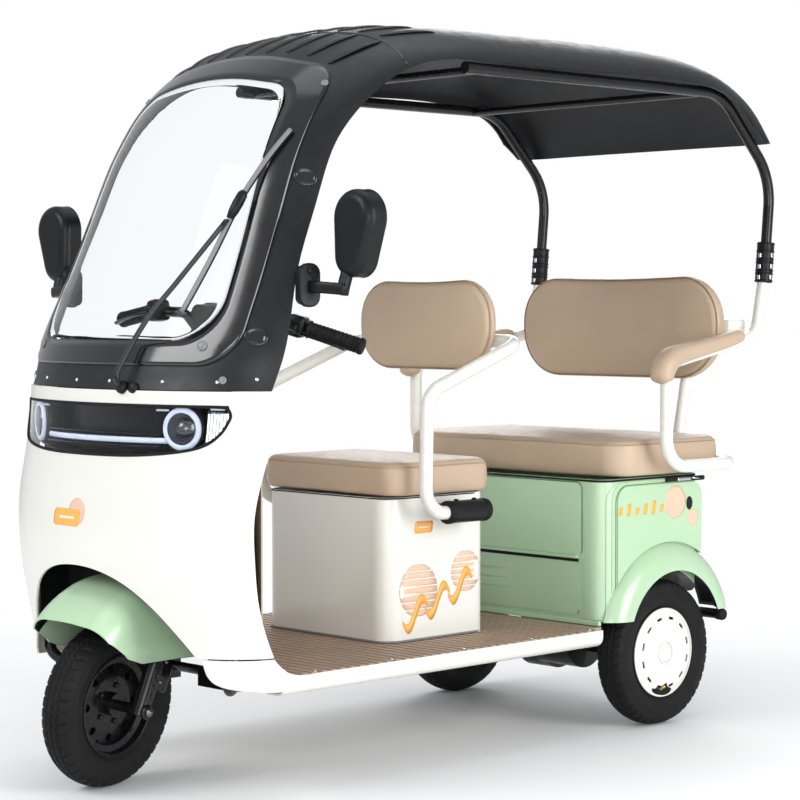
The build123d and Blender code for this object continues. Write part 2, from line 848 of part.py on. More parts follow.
def build_roof_frame():
    """Black side tubes under the roof with their rear posts, and two cross tubes."""
    pieces = []
    for s in (1, -1):
        x = s * 400
        side = [(x, -110, 1604), (x, 830, 1608), (x, 1042, 1400), (x, 1015, 1124)]
        pieces.append(bar(side, [160, 160], ROOF_TUBE_R))
    for y in (-60, 740):
        pieces.append(rod((-400, y, 1603), (400, y, 1603), 10))
    whole = pieces[0].fuse(*pieces[1:])
    return solid_of(whole)


def build_post_sleeves():
    """Clamping sleeves where the roof posts enter the seat frame."""
    solids = []
    for s in (1, -1):
        low = Vector(s * 400, 1014.2, 1125)
        high = Vector(s * 400, 1024.4, 1229)
        solids.append(rod(low, high, 22.5) - rod(low - (high - low), high + (high - low), 17))
    return Compound(children=solids)


def build_pads():
    """Tan arm pads over the slope of the rear seat frame."""
    points, bends = seat_path()
    room = bar(points, bends, TUBE_R + 0.4)
    solids = []
    for s in (1, -1):
        pad = bar([(s * 408, 905, 973), (s * 430, 700, 940), (s * 442, 592, 922)], [200], 25)
        solids.append(solid_of(pad - room))
    return Compound(children=solids)


def build_bumper():
    """Rear bar low behind the body on two stays from the rails."""
    pieces = [rod((-404, 846, 263), (404, 846, 263), 13)]
    for s in (1, -1):
        pieces.append(bar([(s * 196, 846, 263), (s * 196, 846, 360), (s * 196, 868, 398)], [20], 9))
    whole = pieces[0].fuse(*pieces[1:])
    return solid_of(whole - block((-300, 300), (700, 862.5), (383, 500)))


def build_tail_lamps():
    solids = [block((s * 300 - 45, s * 300 + 45), (792.3, 812), (420, 500)) for s in (1, -1)]
    return Compound(children=solids)


def build_plate_bracket():
    """Steel plate for the number plate, with four bolt holes, on two standoffs."""
    plate = block((-120, 120), (795, 798), (500, 590))
    holes = [Pos(x, 796, z) * Rot(90, 0, 0) * Cylinder(3.3, 20) for x in (-90, 90) for z in (515, 575)]
    feet = [block((x - 12, x + 12), (792.2, 795), (525, 565)) for x in (-60, 60)]
    return solid_of(plate.fuse(*feet) - holes)


def mirror_face():
    """Front view of a mirror head, wider at the top."""
    top = ThreePointArc((59.07, 22.5), (0, 93), (-59.07, 22.5))
    foot = ThreePointArc((-45.29, -55.05), (0, -93), (45.29, -55.05))
    return make_face([top, Line(top @ 1, foot @ 0), foot, Line(foot @ 1, top @ 0)])


def build_mirrors():
    """Mirror heads with their arms and pillar bases."""
    solids = []
    for s in (1, -1):
        back = Plane(origin=(0, 25, 0), x_dir=(1, 0, 0), z_dir=(0, -1, 0))
        shell = extrude(back * mirror_face(), amount=50)
        shell = fillet(shell.faces().sort_by(Axis.Y)[0].edges(), 22)
        shell = Pos(s * 534, -572, 1212) * Rot(0, s * 8, 0) * shell
        arm = bar([(s * 432, -610, 1100), (s * 512, -594, 1096), (s * 516, -578, 1150)], [16], 9)
        base = fillet(Box(26, 44, 84).edges().filter_by(Axis.X), 16)
        base = Pos(s * 424, -612, 1104) * Rot(0, 0, s * -12) * base
        whole = shell.fuse(arm, base)
        solids.append(solid_of(whole))
    return Compound(children=solids)


def build_wiper():
    """Pivot cap, arm and blade standing off the windscreen."""
    pivot = rod((110, -880, 890), (112, -900, 896), 9)
    arm = bar([(111, -893, 893), (119, -888, 930), (266, -694, 1262)], [30], 5)
    blade = bar([(226, -806, 1045), (262, -690, 1262), (304, -585, 1432)], [400], 6)
    whole = pivot.fuse(arm, blade)
    return solid_of(whole)


SHOWN = {}


def build_all():
    SHOWN["roof_shell"] = build_roof()
    SHOWN["windscreen"] = build_windscreen()
    SHOWN["front_fairing"] = build_fairing()
    SHOWN["headlamp_housing"] = build_lamp_housing()
    SHOWN["headlamp_lens"] = build_lamp_lens()
    SHOWN["fork"] = steered(build_fork())
    SHOWN["front_fender"] = steered(build_front_fender())
    SHOWN["handlebar"] = steered(build_handlebar())
    SHOWN["grips"] = steered(build_grips())
    SHOWN["instrument_pod"] = steered(build_pod())
    SHOWN["front_tyre"] = steered(place_wheel(tyre(), 0, FRONT_AXLE_Y))
    SHOWN["front_rim"] = steered(place_wheel(rim(), 0, FRONT_AXLE_Y))
    SHOWN["sill_pan"] = build_pan()
    SHOWN["floor_board"] = build_floor()
    SHOWN["leg_shield"] = build_leg_shield()
    SHOWN["dash"] = build_dash()
    SHOWN["wheel_liner"] = build_liner()
    SHOWN["frame"] = build_frame()
    SHOWN["rear_axle"] = build_axle()
    SHOWN["rear_springs"] = build_springs()
    SHOWN["seat_box"] = build_seat_box()
    SHOWN["battery_pack"] = build_battery()
    SHOWN["driver_cushion"] = build_driver_cushion()
    SHOWN["driver_backrest"] = build_driver_backrest()
    SHOWN["driver_arm_frame"] = build_arm_frame()
    SHOWN["arm_sleeves"] = build_arm_sleeves()
    SHOWN["rear_body"] = build_rear_body()
    SHOWN["rear_fenders"] = build_rear_fenders()
    SHOWN["bench_cushion"] = build_bench()
    SHOWN["rear_backrest"] = build_rear_backrest()
    SHOWN["rear_seat_frame"] = build_seat_frame()
    SHOWN["roof_frame"] = build_roof_frame()
    SHOWN["post_sleeves"] = build_post_sleeves()
    SHOWN["armrest_pads"] = build_pads()
    SHOWN["rear_bumper"] = build_bumper()
    SHOWN["tail_lamps"] = build_tail_lamps()
    SHOWN["plate_bracket"] = build_plate_bracket()
    SHOWN["mirrors"] = build_mirrors()
    SHOWN["wiper"] = build_wiper()
    for name, side in (("left", 1), ("right", -1)):
        for piece, made in (("tyre", tyre()), ("rim", rim()), ("hub_cap", hub_cap())):
            shape = made if side == 1 else made.rotate(Axis.Z, 180)
            SHOWN[f"rear_{piece}_{name}"] = place_wheel(shape, side * TRACK_HALF, REAR_AXLE_Y)


def write_parts():
    os.makedirs("parts", exist_ok=True)
    for name, shape in SHOWN.items():
        export_step(Pos(0, CENTRE_Y, 0) * shape, f"parts/{name}.step")


build_all()
write_parts()
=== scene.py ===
from math import atan2, copysign, cos, exp, pi, radians, sin, sqrt, tan

import bmesh
import bpy
from mathutils import Matrix, Vector, noise
from mathutils.bvhtree import BVHTree


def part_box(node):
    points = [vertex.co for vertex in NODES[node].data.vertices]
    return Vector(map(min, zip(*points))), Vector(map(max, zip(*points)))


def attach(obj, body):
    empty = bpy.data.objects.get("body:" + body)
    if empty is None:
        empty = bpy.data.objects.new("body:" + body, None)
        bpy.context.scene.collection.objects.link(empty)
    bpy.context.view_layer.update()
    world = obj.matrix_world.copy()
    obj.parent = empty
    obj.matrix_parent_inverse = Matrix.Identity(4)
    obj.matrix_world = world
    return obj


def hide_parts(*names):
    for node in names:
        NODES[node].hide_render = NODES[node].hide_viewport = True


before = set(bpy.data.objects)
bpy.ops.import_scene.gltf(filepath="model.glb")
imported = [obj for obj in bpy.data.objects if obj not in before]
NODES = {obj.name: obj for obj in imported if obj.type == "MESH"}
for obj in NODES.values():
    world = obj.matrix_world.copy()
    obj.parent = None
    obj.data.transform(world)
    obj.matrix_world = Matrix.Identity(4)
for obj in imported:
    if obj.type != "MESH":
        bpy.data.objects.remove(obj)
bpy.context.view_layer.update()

SHIFT_Y = -0.019  # the pack's middle lies this far behind the drawing's
BOTH = ((1, "left"), (-1, "right"))
UP = (0, 0, 1)
BACKWARD = (0, 1, 0)
FORWARD = (0, -1, 0)
WHEEL_RADIUS = 0.185
FRONT_AXLE_Y = -0.83
REAR_AXLE_Y = 0.627
REAR_HALF_TRACK = 0.351
FLARE_Y, FLARE_Z = 0.653, 0.212  # middle of the rear guards' arcs


def at(x, y, z):
    """A point of the vehicle's own drawing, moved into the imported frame."""
    return Vector((x, y + SHIFT_Y, z))


# ---- materials ----
M = {}


def shader(name, base, rough, metallic=0.0, coat=0.0, coat_rough=0.08, specular=0.5):
    mat = bpy.data.materials.new(name)
    mat.use_nodes = True
    bsdf = mat.node_tree.nodes["Principled BSDF"]
    bsdf.inputs["Base Color"].default_value = (*base, 1)
    bsdf.inputs["Roughness"].default_value = rough
    bsdf.inputs["Metallic"].default_value = metallic
    bsdf.inputs["Coat Weight"].default_value = coat
    bsdf.inputs["Coat Roughness"].default_value = coat_rough
    bsdf.inputs["Specular IOR Level"].default_value = specular
    M[name] = mat
    return mat


def add(mat, kind, **values):
    node = mat.node_tree.nodes.new(kind)
    for key, value in values.items():
        if hasattr(node, key):
            setattr(node, key, value)
        else:
            node.inputs[key.replace("_", " ")].default_value = value
    return node


def link(mat, a, out, b, into):
    mat.node_tree.links.new(a.outputs[out], b.inputs[into])


def operate(mat, kind, operation, *values):
    """Outputs of a maths node; each value is a socket, a plain value, or None to leave the input."""
    node = add(mat, "ShaderNode" + kind, operation=operation)
    for k, value in enumerate(values):
        if isinstance(value, bpy.types.NodeSocket):
            mat.node_tree.links.new(value, node.inputs[k])
        elif value is not None:
            node.inputs[k].default_value = value
    return node.outputs


def vary(mat, base, spread, scale, detail=4.0):
    """Slow change of colour over the surface."""
    coord = add(mat, "ShaderNodeTexCoord")
    cloud = add(mat, "ShaderNodeTexNoise", Scale=scale, Detail=detail, Roughness=0.55)
    ramp = add(mat, "ShaderNodeValToRGB")
    ramp.color_ramp.elements[0].position = 0.3
    ramp.color_ramp.elements[1].position = 0.7
    ramp.color_ramp.elements[0].color = (*[c * (1 - spread) for c in base], 1)
    ramp.color_ramp.elements[1].color = (*[min(c * (1 + spread * 0.6), 1) for c in base], 1)
    link(mat, coord, "Object", cloud, "Vector")
    link(mat, cloud, "Fac", ramp, "Fac")
    link(mat, ramp, "Color", mat.node_tree.nodes["Principled BSDF"], "Base Color")
    return coord


def rough_range(mat, coord, low, high, scale):
    cloud = add(mat, "ShaderNodeTexNoise", Scale=scale, Detail=5.0, Roughness=0.6)
    span = add(mat, "ShaderNodeMapRange", From_Min=0.35, From_Max=0.65, To_Min=low, To_Max=high)
    link(mat, coord, "Object", cloud, "Vector")
    link(mat, cloud, "Fac", span, "Value")
    link(mat, span, "Result", mat.node_tree.nodes["Principled BSDF"], "Roughness")


def grain(mat, coord, kind, scale, depth, strength=1.0, second=None):
    """Fine relief: 'noise' for paint and moulded plastic, 'pebble' for leather."""
    if kind == "pebble":
        tex = add(mat, "ShaderNodeTexVoronoi", Scale=scale, feature="DISTANCE_TO_EDGE")
        out = "Distance"
    else:
        tex = add(mat, "ShaderNodeTexNoise", Scale=scale, Detail=3.0, Roughness=0.5)
        out = "Fac"
    bump = add(mat, "ShaderNodeBump", Strength=strength, Distance=depth)
    link(mat, coord, "Object", tex, "Vector")
    link(mat, tex, out, bump, "Height")
    if second:
        soft = add(mat, "ShaderNodeTexNoise", Scale=second[0], Detail=2.0, Roughness=0.5)
        more = add(mat, "ShaderNodeBump", Strength=1.0, Distance=second[1])
        link(mat, coord, "Object", soft, "Vector")
        link(mat, soft, "Fac", more, "Height")
        link(mat, bump, "Normal", more, "Normal")
        bump = more
    link(mat, bump, "Normal", mat.node_tree.nodes["Principled BSDF"], "Normal")


def plain(name, base, rough, spread=0.05, cloud=9.0, relief=("noise", 900.0, 0.00006), rough_scale=30.0, **kw):
    mat = shader(name, base, sum(rough) / 2, **kw)
    coord = vary(mat, base, spread, cloud)
    rough_range(mat, coord, rough[0], rough[1], rough_scale)
    grain(mat, coord, *relief)
    return mat


CREAM = (0.74, 0.735, 0.68)
GREEN = (0.43, 0.61, 0.4)
TAN = (0.5, 0.375, 0.265)
plain("cream_plastic", CREAM, (0.16, 0.24), 0.02, 3.0, coat=0.35)
plain("cream_metal", (0.78, 0.775, 0.72), (0.2, 0.3), 0.02, 6.0, coat=0.3)
plain("green_plastic", GREEN, (0.18, 0.27), 0.025, 3.0, coat=0.35)
plain("black_plastic", (0.0065, 0.0068, 0.0078), (0.3, 0.42), 0.15, 12.0, ("noise", 1400.0, 0.00012),
      specular=0.24)
plain("roof_plastic", (0.0075, 0.008, 0.0095), (0.33, 0.43), 0.1, 5.0, ("noise", 1600.0, 0.00008),
      specular=0.38)
plain("black_metal", (0.006, 0.006, 0.0065), (0.22, 0.36), 0.15, 14.0, coat=0.25, specular=0.25)
plain("rubber", (0.008, 0.008, 0.008), (0.55, 0.75), 0.2, 20.0, ("noise", 700.0, 0.0002), specular=0.2)
plain("tyre", (0.0085, 0.0085, 0.009), (0.55, 0.72), 0.22, 26.0, ("noise", 500.0, 0.0003), specular=0.18)
plain("tan_plastic", (0.42, 0.31, 0.23), (0.42, 0.58), 0.05, 8.0, ("noise", 900.0, 0.0002))
plain("tan_leather", TAN, (0.36, 0.5), 0.04, 7.0, ("pebble", 620.0, 0.00025, 0.8, (9.0, 0.0016)))
plain("spring_steel", (0.2, 0.2, 0.21), (0.3, 0.45), 0.1, 20.0, metallic=1.0)
plain("chrome", (0.75, 0.76, 0.78), (0.06, 0.14), 0.03, 20.0, metallic=1.0)
plain("red_lens", (0.42, 0.012, 0.012), (0.1, 0.16), 0.08, 20.0, coat=0.6)
plain("grey_trim", (0.2, 0.205, 0.21), (0.3, 0.42), 0.05, 10.0)
plain("frit", (0.008, 0.008, 0.009), (0.1, 0.16), 0.1, 10.0, coat=0.5)


def glass(name, tint, rough, ior=1.45):
    mat = shader(name, tint, rough)
    bsdf = mat.node_tree.nodes["Principled BSDF"]
    bsdf.inputs["Transmission Weight"].default_value = 1.0
    bsdf.inputs["IOR"].default_value = ior
    coord = add(mat, "ShaderNodeTexCoord")
    rough_range(mat, coord, rough, rough + 0.02, 12.0)
    return mat


glass("glass", (0.93, 0.96, 0.96), 0.0, 1.12)
glass("lens", (0.93, 0.95, 0.97), 0.0, 1.15)
plain("mirror_glass", (0.6, 0.62, 0.65), (0.02, 0.05), 0.02, 5.0, metallic=1.0)


def glow(name, color, strength):
    mat = shader(name, color, 0.3)
    bsdf = mat.node_tree.nodes["Principled BSDF"]
    bsdf.inputs["Emission Color"].default_value = (*color, 1)
    bsdf.inputs["Emission Strength"].default_value = strength
    coord = add(mat, "ShaderNodeTexCoord")
    rough_range(mat, coord, 0.25, 0.35, 40.0)
    return mat


glow("led", (0.52, 0.56, 0.7), 0.42)
plain("decal_orange", (0.9, 0.42, 0.08), (0.3, 0.4), 0.04, 10.0)
plain("decal_tan", (0.72, 0.5, 0.36), (0.3, 0.4), 0.04, 10.0)

NODES_OF = {
    "roof_plastic": "roof_shell",
    "glass": "windscreen",
    "cream_plastic": "front_fairing sill_pan seat_box rear_hub_cap_left rear_hub_cap_right",
    "black_plastic": "headlamp_housing instrument_pod dash wheel_liner battery_pack arm_sleeves"
                     " post_sleeves mirrors",
    "lens": "headlamp_lens",
    "black_metal": "fork handlebar front_rim frame rear_axle roof_frame rear_bumper wiper plate_bracket"
                   " rear_rim_left rear_rim_right",
    "green_plastic": "front_fender rear_body rear_fenders",
    "rubber": "grips",
    "tyre": "front_tyre rear_tyre_left rear_tyre_right",
    "tan_plastic": "floor_board leg_shield",
    "spring_steel": "rear_springs",
    "tan_leather": "driver_cushion driver_backrest bench_cushion rear_backrest armrest_pads",
    "cream_metal": "driver_arm_frame rear_seat_frame",
    "red_lens": "tail_lamps",
}


def paint(node_name, mat):
    NODES[node_name].data.materials.clear()
    NODES[node_name].data.materials.append(M[mat])


for mat_name, node_names in NODES_OF.items():
    for node_name in node_names.split():
        paint(node_name, mat_name)


# ---- mesh helpers ----
def piece(name, verts, faces, mat, body="vehicle", smooth=True, slot=None):
    mesh = bpy.data.meshes.new(name)
    mesh.from_pydata([tuple(v) for v in verts], [], faces)
    mesh.validate()
    obj = bpy.data.objects.new(name, mesh)
    bpy.context.scene.collection.objects.link(obj)
    mesh.materials.append(M[mat])
    tidy_mesh(mesh)
    for poly in mesh.polygons:
        poly.use_smooth = smooth
    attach(obj, body)
    return obj


def tidy_mesh(mesh):
    bm = bmesh.new()
    bm.from_mesh(mesh)
    bmesh.ops.remove_doubles(bm, verts=bm.verts, dist=1e-6)
    bmesh.ops.dissolve_degenerate(bm, edges=bm.edges, dist=1e-7)
    bmesh.ops.recalc_face_normals(bm, faces=bm.faces)
    bm.to_mesh(mesh)
    bm.free()


def ring_faces(count, rows):
    """Faces between rings of count points, each ring joined to the next."""
    faces = []
    for r in range(rows - 1):
        for i in range(count):
            j = (i + 1) % count
            faces.append((r * count + i, r * count + j, (r + 1) * count + j, (r + 1) * count + i))
    return faces


def capped(verts, count):
    """Verts of rings of count points with their faces and a face over each end."""
    rows = len(verts) // count
    ends = [tuple(range(count))[::-1], tuple((rows - 1) * count + i for i in range(count))]
    return verts, ring_faces(count, rows) + ends


def rim_faces(rim, shift):
    """Walls between a closed rim and the same rim shift points further on."""
    return [(i, j, shift + j, shift + i) for i, j in zip(rim, rim[1:] + rim[:1])]


def with_sides(arcs, side):
    """Closed outline from its corners' arcs, with the sides between them split evenly."""
    points = []
    for i, arc in enumerate(arcs):
        start, stop = arc[-1], arcs[(i + 1) % len(arcs)][0]
        points += arc + [start.lerp(stop, k / side) for k in range(1, side)]
    return points


def sheet_faces(cols, rows):
    """Faces of a grid of cols by rows points, of the same grid after it, and the walls between."""
    faces = [(i * rows + j, (i + 1) * rows + j, (i + 1) * rows + j + 1, i * rows + j + 1)
             for i in range(cols - 1) for j in range(rows - 1)]
    count = cols * rows
    faces += [tuple(count + k for k in f[::-1]) for f in faces]
    rim = list(range(rows)) + [i * rows + rows - 1 for i in range(1, cols)]
    rim += [count - rows + j for j in range(rows - 2, -1, -1)] + [i * rows for i in range(cols - 2, 0, -1)]
    return faces + rim_faces(rim, count)


def round_rect(a, b, radius, corner=8, side=6):
    """Points of a rectangle with round corners, always the same count."""
    radius = max(min(radius, a, b), 0.0005)
    arcs = []
    for k, (sx, sy) in enumerate(((1, 1), (-1, 1), (-1, -1), (1, -1))):
        middle = Vector((sx * (a - radius), sy * (b - radius)))
        angles = [radians(90 * k + 90 * i / corner) for i in range(corner + 1)]
        arcs.append([middle + radius * Vector((cos(t), sin(t))) for t in angles])
    return with_sides(arcs, side)


def pad(name, node, axis, radius, body, crown, bulge, edge, side=14, seam=None, shape=None):
    """Crowned cushion in the place of a CAD node, facing along axis, with a piped edge."""
    corner, wave, back_edge = 10, 0.0009, 0.008
    low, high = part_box(node)
    w = Vector(axis).normalized()
    u = Vector((1, 0, 0))
    v = w.cross(u).normalized()
    centre = (low + high) / 2
    size = high - low
    a, b, half = [abs(size.dot(d)) / 2 for d in (u, v, w)]
    thick = 2 * half
    profile = [(back_edge * 2.2, 0.0), (back_edge, 0.0006), (back_edge * 0.3, back_edge * 0.35),
               (0.0, back_edge)]
    wall = thick - edge - back_edge
    for i in range(1, 6):
        t = i / 6
        profile.append((-bulge * sin(pi * t) ** 0.8, back_edge + wall * t))
    top = thick - edge
    seam_at = top - 0.001
    profile += [(0.0, seam_at - 0.002), (0.0011, seam_at), (0.0002, seam_at + 0.002)]
    for i in range(1, 8):
        angle = pi / 2 * i / 7
        profile.append((edge * (1 - cos(angle)), top + edge * sin(angle) - crown))
    inner = min(a, b)
    rings = [(t, h, 0.0) for t, h in profile]
    steps = 14
    for i in range(1, steps + 1):
        t = i / steps
        rings.append((edge + (inner - edge) * 0.985 * t, thick - crown, 1 - (1 - t) ** 2.3))
    verts = []
    for inset, h, lift in rings:
        for pu, pv in round_rect(a - inset, b - inset, max(radius - inset, 0.002), corner, side):
            height = h + crown * lift
            if h >= top and seam:
                height -= seam(pu)
            if shape:
                pu, pv = shape(pu, pv, a, b)
            p = centre + u * pu + v * pv + w * (height - half)
            n = noise.noise(p * 9.0) * wave * (1 if 0.0 < h else 0)
            verts.append(p + w * n)
    obj = piece(name, *capped(verts, len(verts) // len(rings)), "tan_leather", body)
    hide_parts(node)


def smooth_path(points, per=8):
    """Catmull-Rom curve through the points."""
    pts = [Vector(p) for p in points]
    ends = [2 * pts[0] - pts[1]] + pts + [2 * pts[-1] - pts[-2]]
    out = []
    for i in range(1, len(ends) - 2):
        p0, p1, p2, p3 = ends[i - 1:i + 3]
        for k in range(per):
            t = k / per
            out.append(0.5 * (2 * p1 + (p2 - p0) * t + (2 * p0 - 5 * p1 + 4 * p2 - p3) * t * t
                              + (3 * p1 - p0 - 3 * p2 + p3) * t ** 3))
    out.append(pts[-1])
    return out


def pipe_mesh(points, radius, sides=10, closed=False, squash=1.0, up=None, power=2.0):
    """Verts and faces of a tube along points; radius may be a list."""
    pts = [Vector(p) for p in points]
    n = len(pts)
    verts = []
    normal = None
    for i, p in enumerate(pts):
        if closed:
            tangent = (pts[(i + 1) % n] - pts[i - 1]).normalized()
        else:
            tangent = (pts[min(i + 1, n - 1)] - pts[max(i - 1, 0)]).normalized()
        if up is not None:
            normal = (Vector(up) - tangent * tangent.dot(Vector(up))).normalized()
        elif normal is None:
            ref = Vector(UP) if abs(tangent.z) < 0.9 else Vector((1, 0, 0))
            normal = (ref - tangent * tangent.dot(ref)).normalized()
        else:
            normal = (normal - tangent * tangent.dot(normal)).normalized()
        side = tangent.cross(normal)
        r = radius[i] if isinstance(radius, (list, tuple)) else radius
        for k in range(sides):
            angle = 2 * pi * k / sides
            c, h = cos(angle), sin(angle)
            c = copysign(abs(c) ** (2 / power), c)
            h = copysign(abs(h) ** (2 / power), h)
            verts.append(p + normal * (r * squash * h) + side * (r * c))
    return looped(verts, sides) if closed else capped(verts, sides)


def pipe(name, points, radius, mat, body="vehicle", sides=10, closed=False, squash=1.0, up=None, slot=None):
    verts, faces = pipe_mesh(points, radius, sides, closed, squash, up)
    return piece(name, verts, faces, mat, body, slot=slot)


def join(parts):
    """One list of verts and faces from several."""
    verts, faces = [], []
    for more_verts, more_faces in parts:
        start = len(verts)
        verts += [Vector(v) for v in more_verts]
        faces += [tuple(start + i for i in face) for face in more_faces]
    return verts, faces


def lathe_mesh(profile, centre, axis, sides=48):
    """Closed shape turned from (radius, along) points about an axis."""
    axis = Vector(axis).normalized()
    ref = Vector(UP) if abs(axis.z) < 0.9 else Vector((1, 0, 0))
    n1 = (ref - axis * axis.dot(ref)).normalized()
    n2 = axis.cross(n1)
    verts = []
    for radius, along in profile:
        for k in range(sides):
            angle = 2 * pi * k / sides
            ray = n1 * cos(angle) + n2 * sin(angle)
            verts.append(Vector(centre) + axis * along + ray * radius)
    return capped(verts, sides)


def head(radius, height, top_radius, top_height):
    """Profile of a bolt's or nut's head."""
    return [(radius, 0.0), (radius, height), (top_radius, top_height), (0.0004, top_height)]


def looped(verts, count):
    """Verts of closed rings with the faces that close the last ring on the first."""
    rows = len(verts) // count
    faces = ring_faces(count, rows)
    last = (rows - 1) * count
    faces += [(last + k, last + (k + 1) % count, (k + 1) % count, k) for k in range(count)]
    return verts, faces


def hoop(profile, centre=(0, 0, 0), axis=(1, 0, 0), sides=48):
    """Closed section turned about an axis, open in the middle."""
    return looped(lathe_mesh(profile, centre, axis, sides)[0], sides)


def sight(*names):
    """Surface finder over some CAD nodes."""
    verts, faces = [], []
    for name in names:
        mesh = NODES[name].data
        start = len(verts)
        verts += [v.co.copy() for v in mesh.vertices]
        faces += [tuple(start + i for i in p.vertices) for p in mesh.polygons]
    return BVHTree.FromPolygons(verts, faces)


def hit(tree, origin, direction):
    place, normal, _, _ = tree.ray_cast(Vector(origin), Vector(direction).normalized())
    if place is None:
        return None, None
    if normal.dot(Vector(direction)) > 0:
        normal = -normal
    return place, normal


# ---- cushions ----
def back_shape(pu, pv, a, b):
    """Outline of a backrest: a shallow dip in its top edge, narrower towards its foot."""
    rise = pv / b
    dip = 0.007 * max(rise, 0.0) ** 2 * (1 - (pu / a) ** 2) ** 2
    return pu * (1 - 0.022 * max(-rise, 0.0) ** 1.5), pv - dip


def bench_seam(pu):
    return 0.004 * exp(-((pu - 0.205) / 0.005) ** 2)


def cushions():
    pad("driver_seat_cover", "driver_cushion", UP, 0.05, "driver_lid", 0.008, 0.003, 0.02)
    pad("bench_seat_cover", "bench_cushion", UP, 0.066, "bench_lid", 0.01, 0.003, 0.022, 30, bench_seam)
    pad("driver_back_cover", "driver_backrest", FORWARD, 0.1, "vehicle", 0.01, 0.002, 0.02, shape=back_shape)
    pad("rear_back_cover", "rear_backrest", FORWARD, 0.122, "vehicle", 0.012, 0.002, 0.02, 26, shape=back_shape)


cushions()


# ---- windscreen: clear middle and dark printed border ----
def rounded_outline(corners, steps=12, side=16):
    """Closed outline from (x, z, radius) corners, each rounded by its radius, sides split evenly."""
    arcs = []
    n = len(corners)
    for i in range(n):
        here = Vector(corners[i][:2])
        radius = corners[i][2]
        before = (Vector(corners[i - 1][:2]) - here).normalized()
        after = (Vector(corners[(i + 1) % n][:2]) - here).normalized()
        half = before.angle(after) / 2
        reach = radius / tan(half)
        centre = here + (before + after).normalized() * (radius / sin(half))
        first, last = here + before * reach, here + after * reach
        a0 = atan2(first.y - centre.y, first.x - centre.x)
        turn = atan2(last.y - centre.y, last.x - centre.x) - a0
        turn = (turn + pi) % (2 * pi) - pi
        arcs.append([centre + radius * Vector((cos(a0 + turn * k / steps), sin(a0 + turn * k / steps)))
                     for k in range(steps + 1)])
    return with_sides(arcs, side)


def drape(tree, points):
    """Points (x, z) thrown back onto a surface; the nearest point where a ray misses."""
    out = []
    for x, z in points:
        place = tree.ray_cast(Vector((x, -2.7, z)), Vector(BACKWARD))[0]
        out.append(place or tree.find_nearest(Vector((x, -0.7, z)))[0])
    return out


def shell_piece(name, rings, thick, mat, body="vehicle", centre_fan=False, slot=None, out=0.0, facing=FORWARD):
    """Sheet of given thickness from rings of points on its outer face."""
    count = len(rings[0])
    verts = [v for ring in rings for v in ring]
    faces = ring_faces(count, len(rings))
    if centre_fan:
        faces.append(tuple((len(rings) - 1) * count + i for i in range(count)))
    mesh = bpy.data.meshes.new(name)
    mesh.from_pydata([tuple(v) for v in verts], [], faces)
    bm = bmesh.new()
    bm.from_mesh(mesh)
    bmesh.ops.recalc_face_normals(bm, faces=bm.faces)
    bm.normal_update()
    bm.verts.ensure_lookup_table()
    sign = 1 if sum((f.normal.dot(Vector(facing)) for f in bm.faces), 0.0) > 0 else -1
    normals = [v.normal * sign for v in bm.verts]
    bm.free()
    bpy.data.meshes.remove(mesh)
    outer = [v + n * out for v, n in zip(verts, normals)]
    inner = [v - n * (thick - out) for v, n in zip(verts, normals)]
    total = len(verts)
    faces = list(faces) + [tuple(total + i for i in f[::-1]) for f in faces]
    for k in range(count):
        j = (k + 1) % count
        faces.append((k, j, total + j, total + k))
        if not centre_fan:
            base = (len(rings) - 1) * count
            faces.append((base + k, total + base + k, total + base + j, base + j))
    return piece(name, outer + inner, faces, mat, body, slot=slot)


def screen():
    tree = sight("windscreen")
    outer = rounded_outline([(-0.3255, 1.588, 0.085), (-0.3655, 0.9335, 0.078), (0.3655, 0.9335, 0.078),
                             (0.3255, 1.588, 0.085), (0.0, 1.65, 0.9)])
    inner = rounded_outline([(-0.262, 1.545, 0.075), (-0.309, 0.986, 0.085), (0.309, 0.986, 0.085),
                             (0.262, 1.545, 0.075), (0.0, 1.588, 0.9)])
    border = [drape(tree, [a.lerp(b, t) for a, b in zip(outer, inner)]) for t in (0.003, 0.15, 0.4, 0.7, 1.0)]
    ring = shell_piece("screen_border", border, 0.0045, "frit", slot="glass")
    middle = Vector((0, 1.27))
    clear = []
    for k in range(22):
        t = 1 - k / 22
        clear.append(drape(tree, [middle.lerp(p, t * 0.9995) for p in inner]))
    pane = shell_piece("screen_clear", clear, 0.0042, "glass", centre_fan=True)
    for obj in (ring, pane):
        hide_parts("windscreen")


screen()
SKIN = sight("roof_shell", "windscreen", "front_fairing", "headlamp_lens")


